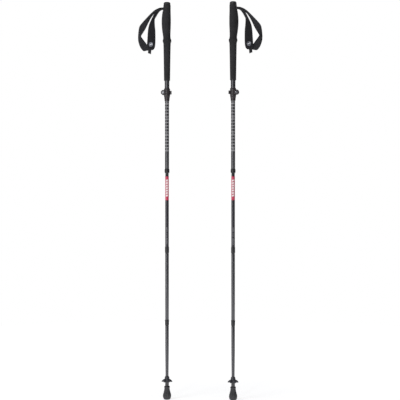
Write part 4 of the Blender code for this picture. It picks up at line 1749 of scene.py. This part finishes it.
@dataclass
class Studio:
    """A plain pale floor, soft light from the left and a long-lensed camera. Its sizes are in metres."""

    floor_z: float = -HAND_HEIGHT * MM
    floor_r: float = 2.2
    lit_point: Point = (0.0, 0.0, -0.55)
    distance: float = 3.4
    azimuth: float = 3.5
    eye_height: float = 0.640
    view_width: float = 1.281
    sensor: float = 36.0

    def build(self) -> None:
        """Builds the floor, the light and the camera."""
        self.build_floor()
        self.build_light()
        self.build_camera()
        bpy.context.scene.view_settings.view_transform = "Standard"

    def build_floor(self) -> None:
        """Builds a round white floor, bright enough to run into the background."""
        shape = bmesh.new()
        bmesh.ops.create_circle(shape, cap_ends=True, segments=96, radius=self.floor_r)
        mesh = bpy.data.meshes.new("studio_floor")
        shape.to_mesh(mesh)
        shape.free()
        floor = bpy.data.objects.new("studio_floor", mesh)
        floor.location = (0, 0, self.floor_z - 0.0003)
        bpy.context.scene.collection.objects.link(floor)
        paint = bpy.data.materials.new("Matt paint, rolled white")
        paint.use_nodes = True
        shader = paint.node_tree.nodes["Principled BSDF"]
        shader.inputs["Base Color"].default_value = linear("#f4f4f4")
        shader.inputs["Roughness"].default_value = 0.9
        shader.inputs["Emission Color"].default_value = linear("#ffffff")
        tree = paint.node_tree
        place = add_node(tree, "ShaderNodeTexCoord")
        near = add_node(tree, "ShaderNodeVectorMath", {"operation": "LENGTH"}, {0: place.outputs["Object"]})
        glow = add_node(
            tree, "ShaderNodeMapRange", {"From Min": 0.2, "From Max": 1.6, "To Min": 0.76, "To Max": 0.98},
            {"Value": near.outputs["Value"]},
        )
        tree.links.new(glow.outputs["Result"], shader.inputs["Emission Strength"])
        mesh.materials.append(paint)

    def build_light(self) -> None:
        """Builds three soft boxes: a strong one on the left, a narrow one in front and one above."""
        for name, place, size, power in (
            ("key", (-1.7, -1.9, -0.45), (0.9, 2.6), 22.0),
            ("strip", (-0.75, -3.0, -0.5), (0.35, 2.4), 13.0),
            ("top", (-0.3, -0.6, 1.6), (1.6, 1.6), 7.0),
        ):
            light = bpy.data.lights.new(name, "AREA")
            light.shape, light.size, light.size_y, light.energy = "RECTANGLE", *size, power
            lamp = bpy.data.objects.new(name, light)
            lamp.location = place
            aim = Vector(self.lit_point) - Vector(place)
            lamp.rotation_euler = aim.to_track_quat("-Z", "Y").to_euler()
            bpy.context.scene.collection.objects.link(lamp)
        world = bpy.data.worlds.new("studio")
        bpy.context.scene.world = world
        world.use_nodes = True
        tree = world.node_tree
        tree.nodes.clear()
        seen = add_node(tree, "ShaderNodeLightPath")
        white = add_node(tree, "ShaderNodeBackground", {"Color": linear("#ffffff"), "Strength": 1.0})
        dim = add_node(tree, "ShaderNodeBackground", {"Color": linear("#f4f6ff"), "Strength": 0.12})
        mixed = add_node(
            tree, "ShaderNodeMixShader", {},
            {0: seen.outputs["Is Camera Ray"], 1: dim.outputs[0], 2: white.outputs[0]},
        )
        add_node(tree, "ShaderNodeOutputWorld", {}, {"Surface": mixed.outputs[0]})

    def build_camera(self) -> None:
        """Builds the camera, level with the middle of the poles."""
        lens = bpy.data.cameras.new("camera")
        lens.sensor_width = self.sensor
        lens.lens = self.sensor * self.distance / self.view_width
        lens.clip_end = 50.0
        camera = bpy.data.objects.new("camera", lens)
        turn = math.radians(self.azimuth)
        height = self.floor_z + self.eye_height
        camera.location = (self.distance * math.sin(turn), -self.distance * math.cos(turn), height)
        camera.rotation_euler = (math.pi / 2, 0.0, turn)
        bpy.context.scene.collection.objects.link(camera)
        bpy.context.scene.camera = camera


def main() -> None:
    """Loads the frame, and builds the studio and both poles."""
    logging.basicConfig(level=logging.INFO, format="%(name)s: %(message)s")
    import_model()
    Studio().build()
    log.info("studio built")
    for side in Side:
        for piece in WalkingPole(side).build():
            log.info("%s: %d faces", piece.name, len(piece.data.polygons))


if __name__ == "__main__":
    main()
